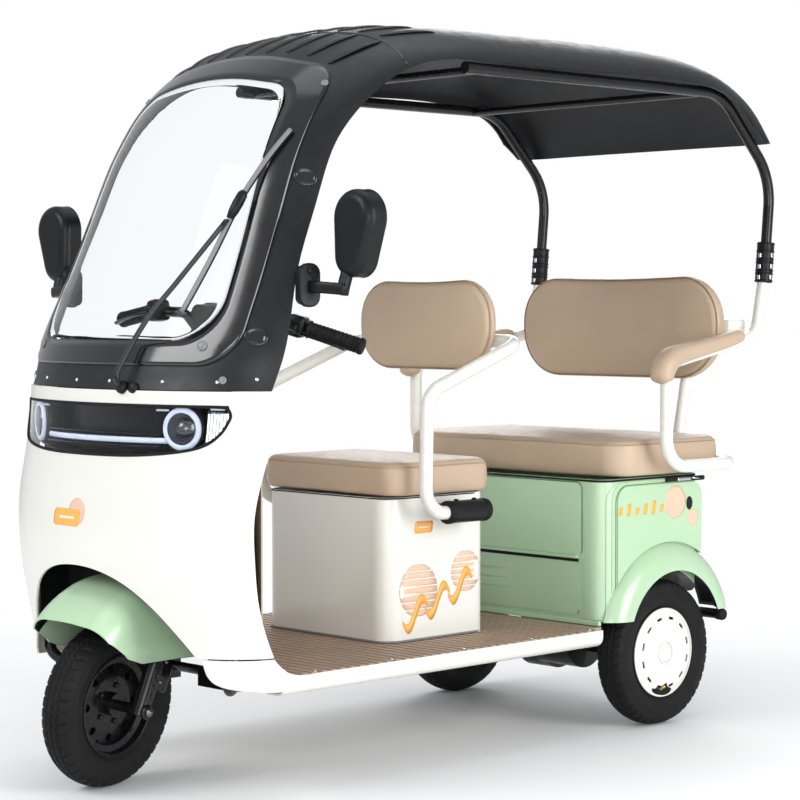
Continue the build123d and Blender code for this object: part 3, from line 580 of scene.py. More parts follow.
# ---- lamps ----
def lamp_side(lens, inside, s, side):
    """Ring of light, bowl, eye, studs, fluted reflector and dashes of one lamp."""
    outward = radians(22)  # each lamp looks this far out of straight ahead
    ahead = Vector((s * sin(outward), -cos(outward), 0))
    across = Vector(UP).cross(ahead)
    centre = at(s * 0.259, -0.822, 0.799)

    def around(middle, radius, count, start=0.0):
        return [middle + across * (radius * cos(a)) + Vector(UP) * (radius * sin(a))
                for a in (start + 2 * pi * k / count for k in range(count))]

    found = [(rim, lens.ray_cast(rim - ahead * 0.1, ahead)[0]) for rim in around(centre, 0.046, 16)]
    gap = min((place - rim).dot(ahead) for rim, place in found if place is not None)
    front = centre + ahead * (gap - 0.007)
    pipe("lamp_ring_" + side, around(front, 0.0395, 64), 0.0068, "led", sides=12, closed=True, squash=0.75,
         up=ahead)
    bowl = [(0.0345, 0.004), (0.0335, 0.002), (0.031, -0.016), (0.022, -0.024), (0.0005, -0.026),
            (0.0005, -0.03), (0.03, -0.028), (0.0345, -0.012)]
    piece("lamp_bowl_" + side, *lathe_mesh(bowl, front, ahead), "chrome_dark")
    eye = [(0.021, -0.022), (0.02, -0.014), (0.016, -0.008), (0.01, -0.0045), (0.0005, -0.0035),
           (0.0005, -0.023)]
    piece("lamp_eye_" + side, *lathe_mesh(eye, front, ahead), "lens")
    collar = [(0.0475, -0.002), (0.0505, -0.006), (0.0505, -0.03), (0.048, -0.03), (0.0462, -0.006)]
    piece("lamp_collar_" + side, *hoop(collar, front, ahead), "black_plastic")
    stud = [(0.0045, -0.004), (0.0045, 0.001), (0.002, 0.003), (0.0003, 0.003)]
    studs = [lathe_mesh(stud, spot, ahead, 14) for spot in around(front - ahead * 0.013, 0.027, 3, pi / 2)]
    piece("lamp_studs_" + side, *join(studs), "chrome", slot="lens")

    # reflector with upright flutes, filling the outer end of the lamp
    grid = []
    cols, rows, flutes = 33, 9, 7
    for i in range(cols):
        u = i / (cols - 1)
        top = 0.838 - 0.004 * u
        foot = 0.765 + 0.052 * u ** 1.5
        depth = 0.012 + 0.0011 * (1 - cos(u * 2 * flutes * pi))
        for j in range(rows):
            place = inside(s * (0.31 + 0.043 * u), foot + (top - foot) * j / (rows - 1))
            grid.append(place + Vector((0, depth, 0)))
    back = [p + Vector((0, 0.002, 0)) for p in grid]
    piece("lamp_reflector_" + side, grid + back, sheet_faces(cols, rows), "chrome", slot="lens")

    # small bright dashes along the top edge
    parts = []
    for x0, x1, z in ((0.196, 0.226, 0.838), (0.318, 0.345, 0.8415)):
        path = [inside(s * (x0 + (x1 - x0) * k / 6), z) + Vector((0, 0.008, 0)) for k in range(7)]
        parts.append(pipe_mesh(path, 0.0022, 8))
    piece("lamp_dashes_" + side, *join(parts), "led")


def lamps():
    lens = sight("headlamp_lens")

    def inside(x, z):
        """Point on the lens's inner face."""
        return lens.ray_cast(at(x, -0.45, z), FORWARD)[0] or lens.find_nearest(at(x, -0.78, z))[0]

    for s, side in BOTH:
        lamp_side(lens, inside, s, side)
    # bar of light between the rings, bowed like the lens, and a dark strip over and under it
    reach = 0.214
    across = [reach * (2 * k / 40 - 1) for k in range(41)]
    path = [inside(x, 0.772) + Vector((0, 0.014 + 0.012 * (x / reach) ** 2, 0)) for x in across]
    pipe("lamp_bar", path, 0.0062, "led", squash=0.55, up=BACKWARD)
    for name, z in (("lamp_shade_low", 0.7585), ("lamp_shade_high", 0.7855)):
        path = [inside(0.205 * (2 * k / 40 - 1), z) + Vector((0, 0.02, 0)) for k in range(41)]
        pipe(name, path, 0.0028, "black_plastic", sides=8)

    # dark seal between lens and nose
    half = [(0, 0.736), (0.15, 0.738), (0.262, 0.748), (0.321, 0.763), (0.351, 0.791), (0.366, 0.825)]
    low = [(-x, z) for x, z in half[::-1]] + half[1:]
    run = smooth_path([(x, 0, z) for x, z in low], 10)
    tip = smooth_path([(0.366, 0, 0.825), (0.3665, 0, 0.838), (0.357, 0, 0.849)], 6)[1:]
    top = [Vector((0.357 - 0.714 * k / 40, 0, 0.85)) for k in range(41)]
    loop = run + tip + top + [Vector((-p.x, 0, p.z)) for p in tip[::-1]]
    path = []
    for p in loop:
        place, normal = hit(lens, at(p.x * 0.9925, -1.6, 0.793 + (p.z - 0.793) * 0.955), BACKWARD)
        if place is not None:
            path.append(place + normal * 0.0004)
    for _ in range(3):
        path = [(path[k - 1] + 2 * path[k] + path[(k + 1) % len(path)]) / 4 for k in range(len(path))]
    pipe("lamp_seal", path, 0.0036, "rubber", sides=8, closed=True)


plain("chrome_dark", (0.12, 0.12, 0.13), (0.12, 0.22), 0.1, 20.0, metallic=1.0)
lamps()


# ---- wiper ----
def wiper():
    pane = sight("windscreen", "roof_shell")
    foot, normal = hit(SKIN, at(0.14, -1.171, 0.884), BACKWARD)
    root = hit(SKIN, at(0.11, -1.176, 0.884), BACKWARD)[0]
    small = [(0.012, -0.004), (0.013, 0.002), (0.012, 0.008), (0.008, 0.011), (0.0005, 0.012)]
    large = [(0.015, -0.005), (0.015, 0.009), (0.012, 0.016), (0.006, 0.018), (0.0005, 0.018)]
    caps = join([lathe_mesh(small, foot, normal, 24), lathe_mesh(large, root, normal, 24)])
    made = [piece("wiper_pivot", *caps, "black_plastic")]
    path = smooth_path([root + normal * 0.016, at(0.117, -0.881, 0.918), at(0.15, -0.829, 1.028),
                        at(0.195, -0.777, 1.114), at(0.263, -0.696, 1.245)], 8)
    widths = [0.0075 if i < 8 else 0.0048 for i in range(len(path))]
    made.append(pipe("wiper_arm", path, widths, "black_metal", squash=0.7, up=FORWARD))
    second = [p + Vector((-0.011, 0.002, 0.001)) for p in path[6:]]
    made.append(pipe("wiper_link", second, 0.0026, "black_metal", sides=8))
    blade = smooth_path([at(0.225, -0.789, 1.045), at(0.247, -0.73, 1.16), at(0.266, -0.668, 1.277),
                         at(0.29, -0.612, 1.36), at(0.316, -0.562, 1.439)], 12)
    spine = [(pane.ray_cast(p + Vector((0, -0.3, 0)), BACKWARD)[0] or p) + Vector((0, -0.013, 0.004))
             for p in blade]
    made.append(pipe("wiper_blade", spine, 0.0062, "grey_trim", squash=0.7, up=FORWARD, slot="black_metal"))
    lip = [p + Vector((0, 0.007, -0.002)) for p in spine]
    made.append(pipe("wiper_rubber", lip, 0.0028, "rubber", sides=6))
    half = len(spine) // 2
    along = (spine[half + 2] - spine[half - 2]).normalized()
    clip = [spine[half] + along * t for t in (-0.038, -0.02, 0.0, 0.022, 0.03)]
    made.append(pipe("wiper_clip", clip, [0.008, 0.0115, 0.0125, 0.0115, 0.007], "black_plastic", up=FORWARD))
    for obj in made:
        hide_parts("wiper")


wiper()


# ---- fasteners, plugs and seams on the cab ----
def button(points, profile, mat, name, slot=None):
    """Turned caps set square on the surface at each (x, z) seen from the front, on both sides."""
    parts = []
    for x, z in points:
        for s in (1, -1):
            place, normal = hit(SKIN, at(s * x, -2.0, z), BACKWARD)
            if place is not None:
                parts.append(lathe_mesh(profile, place, normal, 24))
    piece(name, *join(parts), mat, slot=slot)


def pillar_plugs():
    """Oval caps set square on the cab's sides."""
    profile = [(0.0195, -0.003), (0.0195, 0.0008), (0.0175, 0.0022), (0.0145, 0.0016), (0.0135, 0.0002),
               (0.01, 0.0012), (0.0004, 0.0018)]
    lean = Vector((0, 0.42, 0.9)).normalized()
    parts = []
    for y, z in ((-0.561, 1.338), (-0.717, 0.995)):
        for s in (1, -1):
            place, normal = hit(ROOF, at(s * 1.5, y, z), (-s, 0, 0))
            verts, faces = lathe_mesh(profile, place, normal, 28)
            cross = normal.cross((lean - normal * normal.dot(lean)).normalized())
            parts.append(([v + cross * (v - place).dot(cross) * 0.35 for v in verts], faces))
    piece("pillar_plugs", *join(parts), "frit")


ROOF = sight("roof_shell")
button([(0.316, 1.55), (0.34, 0.903)],
       [(0.0085, -0.002), (0.0085, 0.0012), (0.0072, 0.0026), (0.0042, 0.0032), (0.0036, 0.0018),
        (0.0004, 0.0018)],
       "grey_trim", "screen_screws")
button([(0.288, 0.975)], [(0.0115, -0.003), (0.0115, 0.002), (0.01, 0.0048), (0.006, 0.0062), (0.0004, 0.0066)],
       "grey_trim", "screen_caps")
button([(0.06, 0.898), (0.21, 0.899), (0.33, 0.899), (0.395, 0.905)],
       [(0.0042, -0.002), (0.0042, 0.0008), (0.003, 0.0022), (0.0004, 0.0028)], "chrome", "cowl_rivets",
       "black_plastic")
pillar_plugs()


def surface_line(name, points, tree, radius, mat, out=0.0, sides=6):
    """Thin bead that follows a surface; points are (origin, direction) rays."""
    path = []
    for origin, direction in points:
        place, normal = hit(tree, origin, direction)
        if place is not None:
            path.append(place + normal * out)
    pipe(name, path, radius, mat, sides=sides)


def roof_lines():
    rays = []
    for k in range(61):
        a = pi * (0.02 + 0.96 * k / 60)
        rays.append((at(0.9 * cos(a), -0.285, 1.35 + 0.9 * sin(a)), (-cos(a), 0, -sin(a))))
    surface_line("roof_seam", rays, ROOF, 0.0022, "frit")
    parts = []
    for k in range(9):
        x = -0.28 + 0.07 * k
        for y0, y1 in ((-0.42, -0.29), (-0.262, -0.12)):
            path = []
            for j in range(13):
                y = y0 + (y1 - y0) * j / 12
                place, normal = hit(ROOF, at(x * (1 + 0.1 * j / 12), y, 2.2), (0, 0, -1))
                swell = sin(pi * (0.04 + 0.92 * j / 12)) ** 0.5
                path.append((place + normal * (0.0004 * swell), 0.0135 * swell + 0.001))
            parts.append(pipe_mesh([p for p, _ in path], [r for _, r in path], 16, squash=0.32,
                                   up=(0, -0.3, 1)))
    verts, faces = join(parts)
    piece("roof_ribs", verts, faces, "roof_plastic")


roof_lines()


# ---- steering frame ----
RAKE = radians(22)
FORK_AHEAD = 0.025  # the fork's legs stand this far ahead of the steering axis
STEER_BASE = at(0, FRONT_AXLE_Y + FORK_AHEAD / cos(RAKE), WHEEL_RADIUS)
STEER_AXIS = Vector((0, sin(RAKE), cos(RAKE)))
STEER_FRONT = Vector((0, -cos(RAKE), sin(RAKE)))
STEER = (Matrix.Translation(STEER_BASE) @ Matrix.Rotation(radians(13), 4, STEER_AXIS)
         @ Matrix.Translation(-STEER_BASE))


def on_axis(along, x=0.0, ahead=0.0):
    return STEER_BASE + STEER_AXIS * along + STEER_FRONT * ahead + Vector((x, 0, 0))


def steered(mesh):
    return [STEER @ Vector(v) for v in mesh[0]], mesh[1]


def slab_mesh(centre, size, radius, turn=None, upright=None):
    """Box with rounded edges, turned about its middle."""
    a, b, c = (v / 2 for v in size)
    edge = min(radius, a, b, c) * 0.98
    rows = [(edge * (1 - sin(pi * k / 8)), edge * (1 - cos(pi * k / 8)) - c) for k in range(5)]
    rows += [(inset, -z) for inset, z in rows[::-1]]
    verts = []
    for inset, z in rows:
        for x, y in round_rect(a - inset, b - inset, max((upright or radius) - inset, 0.0003), 4, 2):
            verts.append(Vector((x, y, z)))
    if turn:
        verts = [turn @ v for v in verts]
    return capped([Vector(centre) + v for v in verts], len(verts) // len(rows))


def toward(direction, up=UP):
    """Turn that lays a slab's thickness along a direction, its length near up."""
    w = Vector(direction).normalized()
    v = (Vector(up) - w * w.dot(Vector(up))).normalized()
    u = v.cross(w)
    return Matrix((u, v, w)).transposed()


def patch(name, outline, origin, u, v, tree, mat, out, rings=6, body="vehicle"):
    """Thin sheet laid on a surface, its outline given in the plane of u and v."""
    u, v = Vector(u), Vector(v)
    w = u.cross(v)
    middle = sum((Vector(p) for p in outline), Vector((0, 0))) / len(outline)
    rows = []
    for k in range(rings):
        row = []
        for p in outline:
            q = middle.lerp(Vector(p), 1 - k / rings)
            spot = origin + u * q.x + v * q.y
            row.append(hit(tree, spot + w * 0.4, -w)[0] or tree.find_nearest(spot + w * 0.03)[0])
        rows.append(row)
    shell_piece(name, rows, 0.0009, mat, body, centre_fan=True, out=out, facing=w)


def pill(a, b, radius, lean=0.0, cx=0.0, cy=0.0):
    return [(cx + x + lean * y, cy + y) for x, y in round_rect(a, b, radius, 6, 4)]


def disc(radius, cx=0.0, cy=0.0, count=36):
    return [(cx + radius * cos(2 * pi * k / count), cy + radius * sin(2 * pi * k / count))
            for k in range(count)]


# ---- mirrors ----
def mirror_outline(inset):
    big, small, lean = 0.06 - inset, 0.046 - inset, radians(10.08)
    points = []
    for k in range(31):
        a = -lean + (pi + 2 * lean) * k / 30
        points.append((big * cos(a), 0.033 + big * sin(a)))
    for k in range(1, 24):
        a = pi + lean + (pi - 2 * lean) * k / 24
        points.append((small * cos(a), -0.047 + small * sin(a)))
    return points


def mirrors():
    for s, side in BOTH:
        turn = Matrix.Rotation(radians(8 * s), 3, "Y")
        centre = at(s * 0.534, -0.572, 1.212)

        def ring(inset, y):
            return [centre + turn @ Vector((x, y, z)) for x, z in mirror_outline(inset)]

        bezel = []
        for inset, y in ((0.0004, 0.022), (-0.001, 0.0262), (0.0006, 0.0286), (0.0034, 0.029), (0.0056, 0.0268),
                         (0.0058, 0.0245)):
            bezel += ring(inset, y)
        piece("mirror_bezel_" + side, *looped(bezel, 54), "black_plastic")
        pane = []
        for inset, y in ((0.0052, 0.0246), (0.0052, 0.0262), (0.016, 0.027), (0.03, 0.0276), (0.042, 0.0278)):
            pane += ring(inset, y)
        piece("mirror_glass_" + side, *capped(pane, 54), "mirror_glass")
        arm, post = [[at(s * x, y, z) for x, y, z in line] for line in (
            ((0.432, -0.612, 1.1005), (0.46, -0.605, 1.099), (0.49, -0.599, 1.097), (0.514, -0.593, 1.095),
             (0.524, -0.591, 1.094)),
            ((0.5125, -0.5935, 1.0835), (0.5132, -0.589, 1.1), (0.5148, -0.583, 1.122),
             (0.5165, -0.577, 1.146)))]
        verts, faces = join([pipe_mesh(arm, 0.0128, 20, squash=0.82, up=FORWARD, power=4.5),
                             pipe_mesh(post, 0.0125, 20, squash=0.84, up=FORWARD, power=4.5)])
        piece("mirror_arm_" + side, verts, faces, "black_plastic")
        base = slab_mesh(at(s * 0.4285, -0.6115, 1.104), (0.052, 0.094, 0.014), 0.005,
                         toward((s, -0.21, 0)), upright=0.022)
        nut = lathe_mesh(head(0.007, 0.005, 0.005, 0.0065), at(s * 0.4355, -0.615, 1.135), (s, -0.21, 0), 18)
        verts, faces = join([base, nut])
        piece("mirror_foot_" + side, verts, faces, "black_plastic")


mirrors()


# ---- arm pads of the rear seat ----
def arm_pads():
    line = [(0.4085, 0.915, 0.9845), (0.4105, 0.897, 0.984), (0.4135, 0.868, 0.98), (0.42, 0.8, 0.9685),
            (0.43, 0.705, 0.9545), (0.4385, 0.625, 0.943), (0.4435, 0.583, 0.934), (0.4465, 0.556, 0.918),
            (0.4475, 0.543, 0.898), (0.4475, 0.5415, 0.88), (0.4475, 0.542, 0.87)]
    wide = [0.006, 0.018, 0.0225, 0.0245, 0.0262, 0.0285, 0.0305, 0.0315, 0.0305, 0.027, 0.01]
    for s, side in BOTH:
        path = smooth_path([at(s * x, y, z) for x, y, z in line], 6)
        sizes = smooth_path([(r, 0, 0) for r in wide], 6)
        verts, faces = pipe_mesh(path, [max(r.x, 0.004) for r in sizes], 28, squash=0.84, power=2.5)
        obj = piece("arm_pad_" + side, verts, faces, "tan_leather")
        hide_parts("armrest_pads")
        seam = [p + Vector((-s * r.x * 0.985, 0, 0)) for p, r in zip(path[8:-8], sizes[8:-8])]
        verts, faces = pipe_mesh(seam, 0.0011, 6)
        piece("arm_pad_seam_" + side, verts, faces, "tan_leather")


arm_pads()


# ---- tyres ----
def tyre_mesh():
    """Moulded tyre about X: round shoulders, zigzag grooves and slanted shoulder cuts."""
    side = [(0.024, 0.114), (0.029, 0.1142), (0.0312, 0.117), (0.0318, 0.12), (0.0338, 0.1215), (0.0362, 0.127),
            (0.0385, 0.137), (0.0396, 0.145), (0.0404, 0.1468), (0.0404, 0.1492), (0.0397, 0.1508),
            (0.0392, 0.158), (0.038, 0.1655), (0.0362, 0.1715)]
    half_width, crown, steps = 0.034, 0.0093, 34
    groove, cut, sipe = 0.0042, 0.004, 0.0018  # depths
    waves, slants, sides = 60, 45, 360
    tread = []
    for k in range(steps + 1):
        x = half_width - 2 * half_width * k / steps
        tread.append((x, WHEEL_RADIUS - crown * (abs(x) / half_width) ** 2.2))
    back = [(-0.0225, 0.115), (-0.031, 0.15), (-0.025, 0.17), (0.025, 0.17), (0.031, 0.15), (0.0225, 0.115)]
    profile = side + tread + [(-x, r) for x, r in side[::-1]] + back
    verts = []
    for x, r in profile:
        for k in range(sides):
            turn = k / sides
            depth = 0.0
            if r > 0.168 and abs(x) < 0.0375:
                wave = 0.0022 * (2 * abs((turn * waves) % 1 - 0.5) * 2 - 1)
                for line in (-0.0145, 0.0, 0.0145):
                    depth = max(depth, groove * max(0.0, 1 - ((x - line - wave) / 0.0021) ** 4))
                slant = (turn * slants + abs(x) * 14) % 1
                if abs(x) > 0.0185:
                    depth = max(depth, cut * max(0.0, 1 - ((slant - 0.5) / 0.1) ** 4))
                elif 0.003 < abs(x) < 0.012:
                    depth = max(depth, sipe * max(0.0, 1 - ((slant - 0.5) / 0.055) ** 4))
            angle = 2 * pi * turn
            verts.append(Vector((x, (r - depth) * cos(angle), (r - depth) * sin(angle))))
    return looped(verts, sides)


def wheels():
    tread = tyre_mesh()
    plate = hoop([(0.0585, -0.0075), (0.0945, -0.0075), (0.0945, -0.0055), (0.0585, -0.0055)])
    lip = hoop([(0.1115, 0.0285), (0.1145, 0.03), (0.115, 0.0318), (0.113, 0.0326), (0.1105, 0.0312)], sides=96)
    far_lip = ([Vector((-v.x, v.y, v.z)) for v in lip[0]], lip[1])
    bolts = join([lathe_mesh(head(0.0062, 0.005, 0.0046, 0.0062),
                             (0.008, 0.042 * cos(a), 0.042 * sin(a)), (1, 0, 0), 6)
                  for a in (2 * pi * k / 5 for k in range(5))])
    ribs = join([pipe_mesh([(0.0035, r * cos(a), r * sin(a)) for r in (0.066, 0.078, 0.089)], 0.0022, 6)
                 for a in (2 * pi * (k + 0.5) / 8 for k in range(8))])
    front = STEER @ Matrix.Translation(at(0, FRONT_AXLE_Y, WHEEL_RADIUS))
    left = Matrix.Translation(at(REAR_HALF_TRACK, REAR_AXLE_Y, WHEEL_RADIUS))
    right = Matrix.Translation(at(-REAR_HALF_TRACK, REAR_AXLE_Y, WHEEL_RADIUS)) @ Matrix.Rotation(pi, 4, "Z")
    spots = (("front", front, "front_wheel", "front_tyre"),
             ("rear_left", left, "rear_wheel_left", "rear_tyre_left"),
             ("rear_right", right, "rear_wheel_right", "rear_tyre_right"))
    for name, place, body, node in spots:
        def put(mesh):
            return [place @ Vector(v) for v in mesh[0]], mesh[1]
        obj = piece("tyre_" + name, *put(tread), "tyre", body)
        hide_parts(node)
        piece("dust_plate_" + name, *put(join([plate, bolts, ribs])), "black_metal", body)
        piece("rim_lips_" + name, *put(join([lip, far_lip])), "black_metal", body)
        if name == "front":
            stem = pipe_mesh([(0.012, 0.06, -0.07), (0.018, 0.058, -0.068), (0.026, 0.052, -0.061)], 0.0035, 10)
            piece("front_valve", *put(stem), "rubber", body)
            continue
        cap = sight("rear_hub_cap_" + name[5:])
        v = Vector(UP)
        w = Vector((1, 0, 0)) if name.endswith("left") else Vector((-1, 0, 0))
        u = v.cross(w)
        centre = place @ Vector((0, 0, 0))
        cut = [(0.004, -0.077), (0.01, -0.088), (0.024, -0.094), (0.021, -0.104), (0.006, -0.1085),
               (-0.012, -0.1075),
               (-0.032, -0.1025), (-0.047, -0.094), (-0.05, -0.086), (-0.038, -0.087), (-0.028, -0.08),
               (-0.016, -0.084)]
        cut = [p.to_tuple()[:2] for p in smooth_path([(a, b, 0) for a, b in cut + cut[:1]], 4)[:-1]]
        patch("valve_gap_" + name, cut, centre, u, v, cap, "rubber", 0.0005, 5, body)
        root = centre + u * -0.022 + v * -0.093 + w * 0.0385
        tip = root + u * 0.012 + v * 0.01 + w * 0.01
        parts = [pipe_mesh([root, root.lerp(tip, 0.6), tip], 0.0031, 12)]
        parts += [pipe_mesh([root.lerp(tip, t), root.lerp(tip, t + 0.06)], 0.0042, 12)
                  for t in (0.15, 0.42, 0.7)]
        piece("valve_" + name, *join(parts), "brass", body)
        ring = hoop([(0.0225, 0.0415), (0.0255, 0.0455), (0.0285, 0.0458), (0.031, 0.0415)])
        rim_bead = hoop([(0.1095, 0.0335), (0.1115, 0.0355), (0.1128, 0.0345), (0.1125, 0.031)], sides=96)
        piece("hub_cap_rings_" + name, *put(join([ring, rim_bead])), "cream_plastic", body)


plain("brass", (0.62, 0.43, 0.16), (0.2, 0.34), 0.1, 30.0, metallic=1.0)
wheels()


# ---- fork, brake and handlebar ----
def front_end():
    ahead, leg = FORK_AHEAD, 0.092
    parts = []
    for s in (1, -1):
        loop = []
        for k in range(40):
            a = 2 * pi * k / 40
            along = 0.054 + 0.056 * max(-1, min(1, 1.25 * sin(a)))
            loop.append(on_axis(along, s * 0.1085, ahead + 0.0085 * cos(a)))
        parts.append(pipe_mesh(loop, 0.003, 8, closed=True))
        for k in range(5):
            a = on_axis(0.024 + 0.018 * k, s * 0.1105, ahead - 0.006)
            b = on_axis(0.032 + 0.018 * k, s * 0.1105, ahead + 0.006)
            parts.append(pipe_mesh([a, a.lerp(b, 0.5), b], 0.002, 6))
        for along, radius in ((0.12, 0.0205), (0.128, 0.0185), (0.136, 0.017), (0.2, 0.016)):
            band = [(radius - 0.001, -0.003), (radius, -0.0015), (radius, 0.0015), (radius - 0.001, 0.003)]
            parts.append(lathe_mesh(band, on_axis(along, s * leg, ahead), STEER_AXIS, 24))
        washer = [(0.0165, -0.004), (0.0165, 0.0015), (0.015, 0.003), (0.0004, 0.003)]
        parts.append(lathe_mesh(washer, at(s * 0.111, FRONT_AXLE_Y, WHEEL_RADIUS), (s, 0, 0), 28))
    piece("fork_relief", *steered(join(parts)), "black_metal", "steering")
    nuts = []
    for s in (1, -1):
        hub = at(s * 0.1135, FRONT_AXLE_Y, WHEEL_RADIUS)
        nuts.append(lathe_mesh([(0.0105, 0.0), (0.0105, 0.007), (0.009, 0.0085), (0.0055, 0.0085),
                                (0.005, 0.012),
                                (0.0004, 0.012)], hub, (s, 0, 0), 6))
    for along in (0.062, 0.108):
        nuts.append(lathe_mesh(head(0.005, 0.004, 0.0038, 0.0052), on_axis(along, 0.108, ahead - 0.016),
                               (1, -0.2, 0), 6))
    piece("fork_nuts", *steered(join(nuts)), "spring_steel", "steering")
    turn = toward((1, 0, 0), tuple(STEER_AXIS))
    caliper = [slab_mesh(on_axis(0.078, 0.08, ahead - 0.046), (0.036, 0.07, 0.034), 0.008, turn),
               slab_mesh(on_axis(0.078, 0.092, ahead - 0.026), (0.03, 0.04, 0.01), 0.003, turn)]
    hose = smooth_path([on_axis(0.105, 0.086, ahead - 0.05), on_axis(0.14, 0.09, ahead - 0.036),
                        on_axis(0.17, 0.093, ahead - 0.02), on_axis(0.205, 0.093, ahead - 0.018)], 6)
    piece("front_caliper", *steered(join(caliper + [pipe_mesh(hose, 0.0034, 8)])), "black_metal", "steering")

    # grips, switch housings, levers
    for s, side in BOTH:
        inner, outer = at(s * 0.228, -0.48183, 1.02792), at(s * 0.352, -0.44208, 0.99858)
        along = (outer - inner).normalized()
        length = (outer - inner).length
        rings = [(0.0168, 0.0), (0.0205, 0.001), (0.021, 0.004), (0.019, 0.006), (0.0174, 0.007)]
        t = 0.012
        while t < length - 0.02:
            rings += [(0.0174, t), (0.0183, t + 0.0018), (0.0183, t + 0.005), (0.0174, t + 0.0066)]
            t += 0.0092
        rings += [(0.0174, length - 0.01), (0.0192, length - 0.008), (0.0192, length - 0.002),
                  (0.0176, length + 0.0012),
                  (0.009, length + 0.0022), (0.0004, length + 0.0024)]
        obj = piece("grip_" + side, *steered(lathe_mesh(rings, inner, along, 32)), "rubber", "steering",
                    slot="grip_rubber")
        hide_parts("grips")
        turn = toward(tuple(along))
        spot = inner - along * 0.026
        body_parts = [slab_mesh(spot + Vector(shift), size, radius, turn) for shift, size, radius in (
            ((0, 0, 0), (0.046, 0.05, 0.04), 0.01), ((0, -0.026, -0.004), (0.026, 0.024, 0.034), 0.006),
            ((0, 0.022, 0.01), (0.01, 0.012, 0.012), 0.003), ((0, 0.022, -0.008), (0.01, 0.012, 0.012), 0.003))]
        piece("switch_" + side, *steered(join(body_parts)), "black_plastic", "steering")
        lever = smooth_path([spot + along * t + Vector((0, y, z)) for t, y, z in (
            (0, -0.036, -0.004), (0.022, -0.047, -0.005), (0.06, -0.05, -0.006), (0.11, -0.043, -0.008),
            (0.14, -0.036, -0.01))], 8)
        sizes = [0.0075 - 0.003 * sin(pi * k / (len(lever) - 1)) for k in range(len(lever))]
        piece("lever_" + side, *steered(pipe_mesh(lever, sizes, 12, squash=0.65, up=UP)), "black_metal",
              "steering")
        line = smooth_path([spot + Vector((0, -0.012, 0.02)), at(s * 0.16, -0.5, 1.044),
                            at(s * 0.122, -0.5, 1.0445),
                            at(s * 0.085, -0.499, 1.03), at(s * 0.07, -0.5, 1.024)], 6)
        piece("bar_line_" + side, *steered(pipe_mesh(line, 0.0028, 8)), "rubber", "steering")
    face = slab_mesh(at(0, -0.4775, 1.0605), (0.132, 0.044, 0.005), 0.002, None, upright=0.012)
    piece("pod_frame", *steered(face), "black_metal", "steering", slot="black_plastic")
    face = slab_mesh(at(0, -0.4775, 1.0622), (0.118, 0.034, 0.004), 0.0015, None, upright=0.008)
    piece("pod_display", *steered(face), "frit", "steering")


front_end()


# ---- wheel arches: painted shade inside them, skirts and walls ----
def shade_inside(name, axis_point, axis_dir=(1, 0, 0), limit=1.0):
    """Glossy green outside; painted shade: matt black on faces within limit of the wheel's axis that look
    towards it.
    """
    coat = 0.35
    mat = plain(name, GREEN, (0.18, 0.27), 0.025, 3.0, coat=coat)
    coord = add(mat, "ShaderNodeTexCoord").outputs
    reach = operate(mat, "VectorMath", "SUBTRACT", coord["Object"], axis_point)["Vector"]
    along = operate(mat, "VectorMath", "DOT_PRODUCT", reach, axis_dir)["Value"]
    on_line = operate(mat, "VectorMath", "SCALE", axis_dir, None, None, along)["Vector"]
    across = operate(mat, "VectorMath", "SUBTRACT", reach, on_line)["Vector"]
    inward = operate(mat, "VectorMath", "DOT_PRODUCT", across, coord["Normal"])["Value"]
    distance = operate(mat, "VectorMath", "LENGTH", across)["Value"]
    faces_axis = operate(mat, "Math", "LESS_THAN", inward, -0.012)["Value"]
    near = operate(mat, "Math", "LESS_THAN", distance, limit)["Value"]
    mask = operate(mat, "Math", "MULTIPLY", faces_axis, near)["Value"]
    shine = operate(mat, "Math", "SUBTRACT", coat, mask)["Value"]
    shine.node.use_clamp = True
    bsdf, links = mat.node_tree.nodes["Principled BSDF"], mat.node_tree.links
    mix = add(mat, "ShaderNodeMix", data_type="RGBA")
    links.new(mask, mix.inputs["Factor"])
    links.new(bsdf.inputs["Base Color"].links[0].from_socket, mix.inputs["A"])
    mix.inputs["B"].default_value = (0.006, 0.006, 0.006, 1)
    links.new(mix.outputs["Result"], bsdf.inputs["Base Color"])
    links.new(shine, bsdf.inputs["Coat Weight"])
    return mat


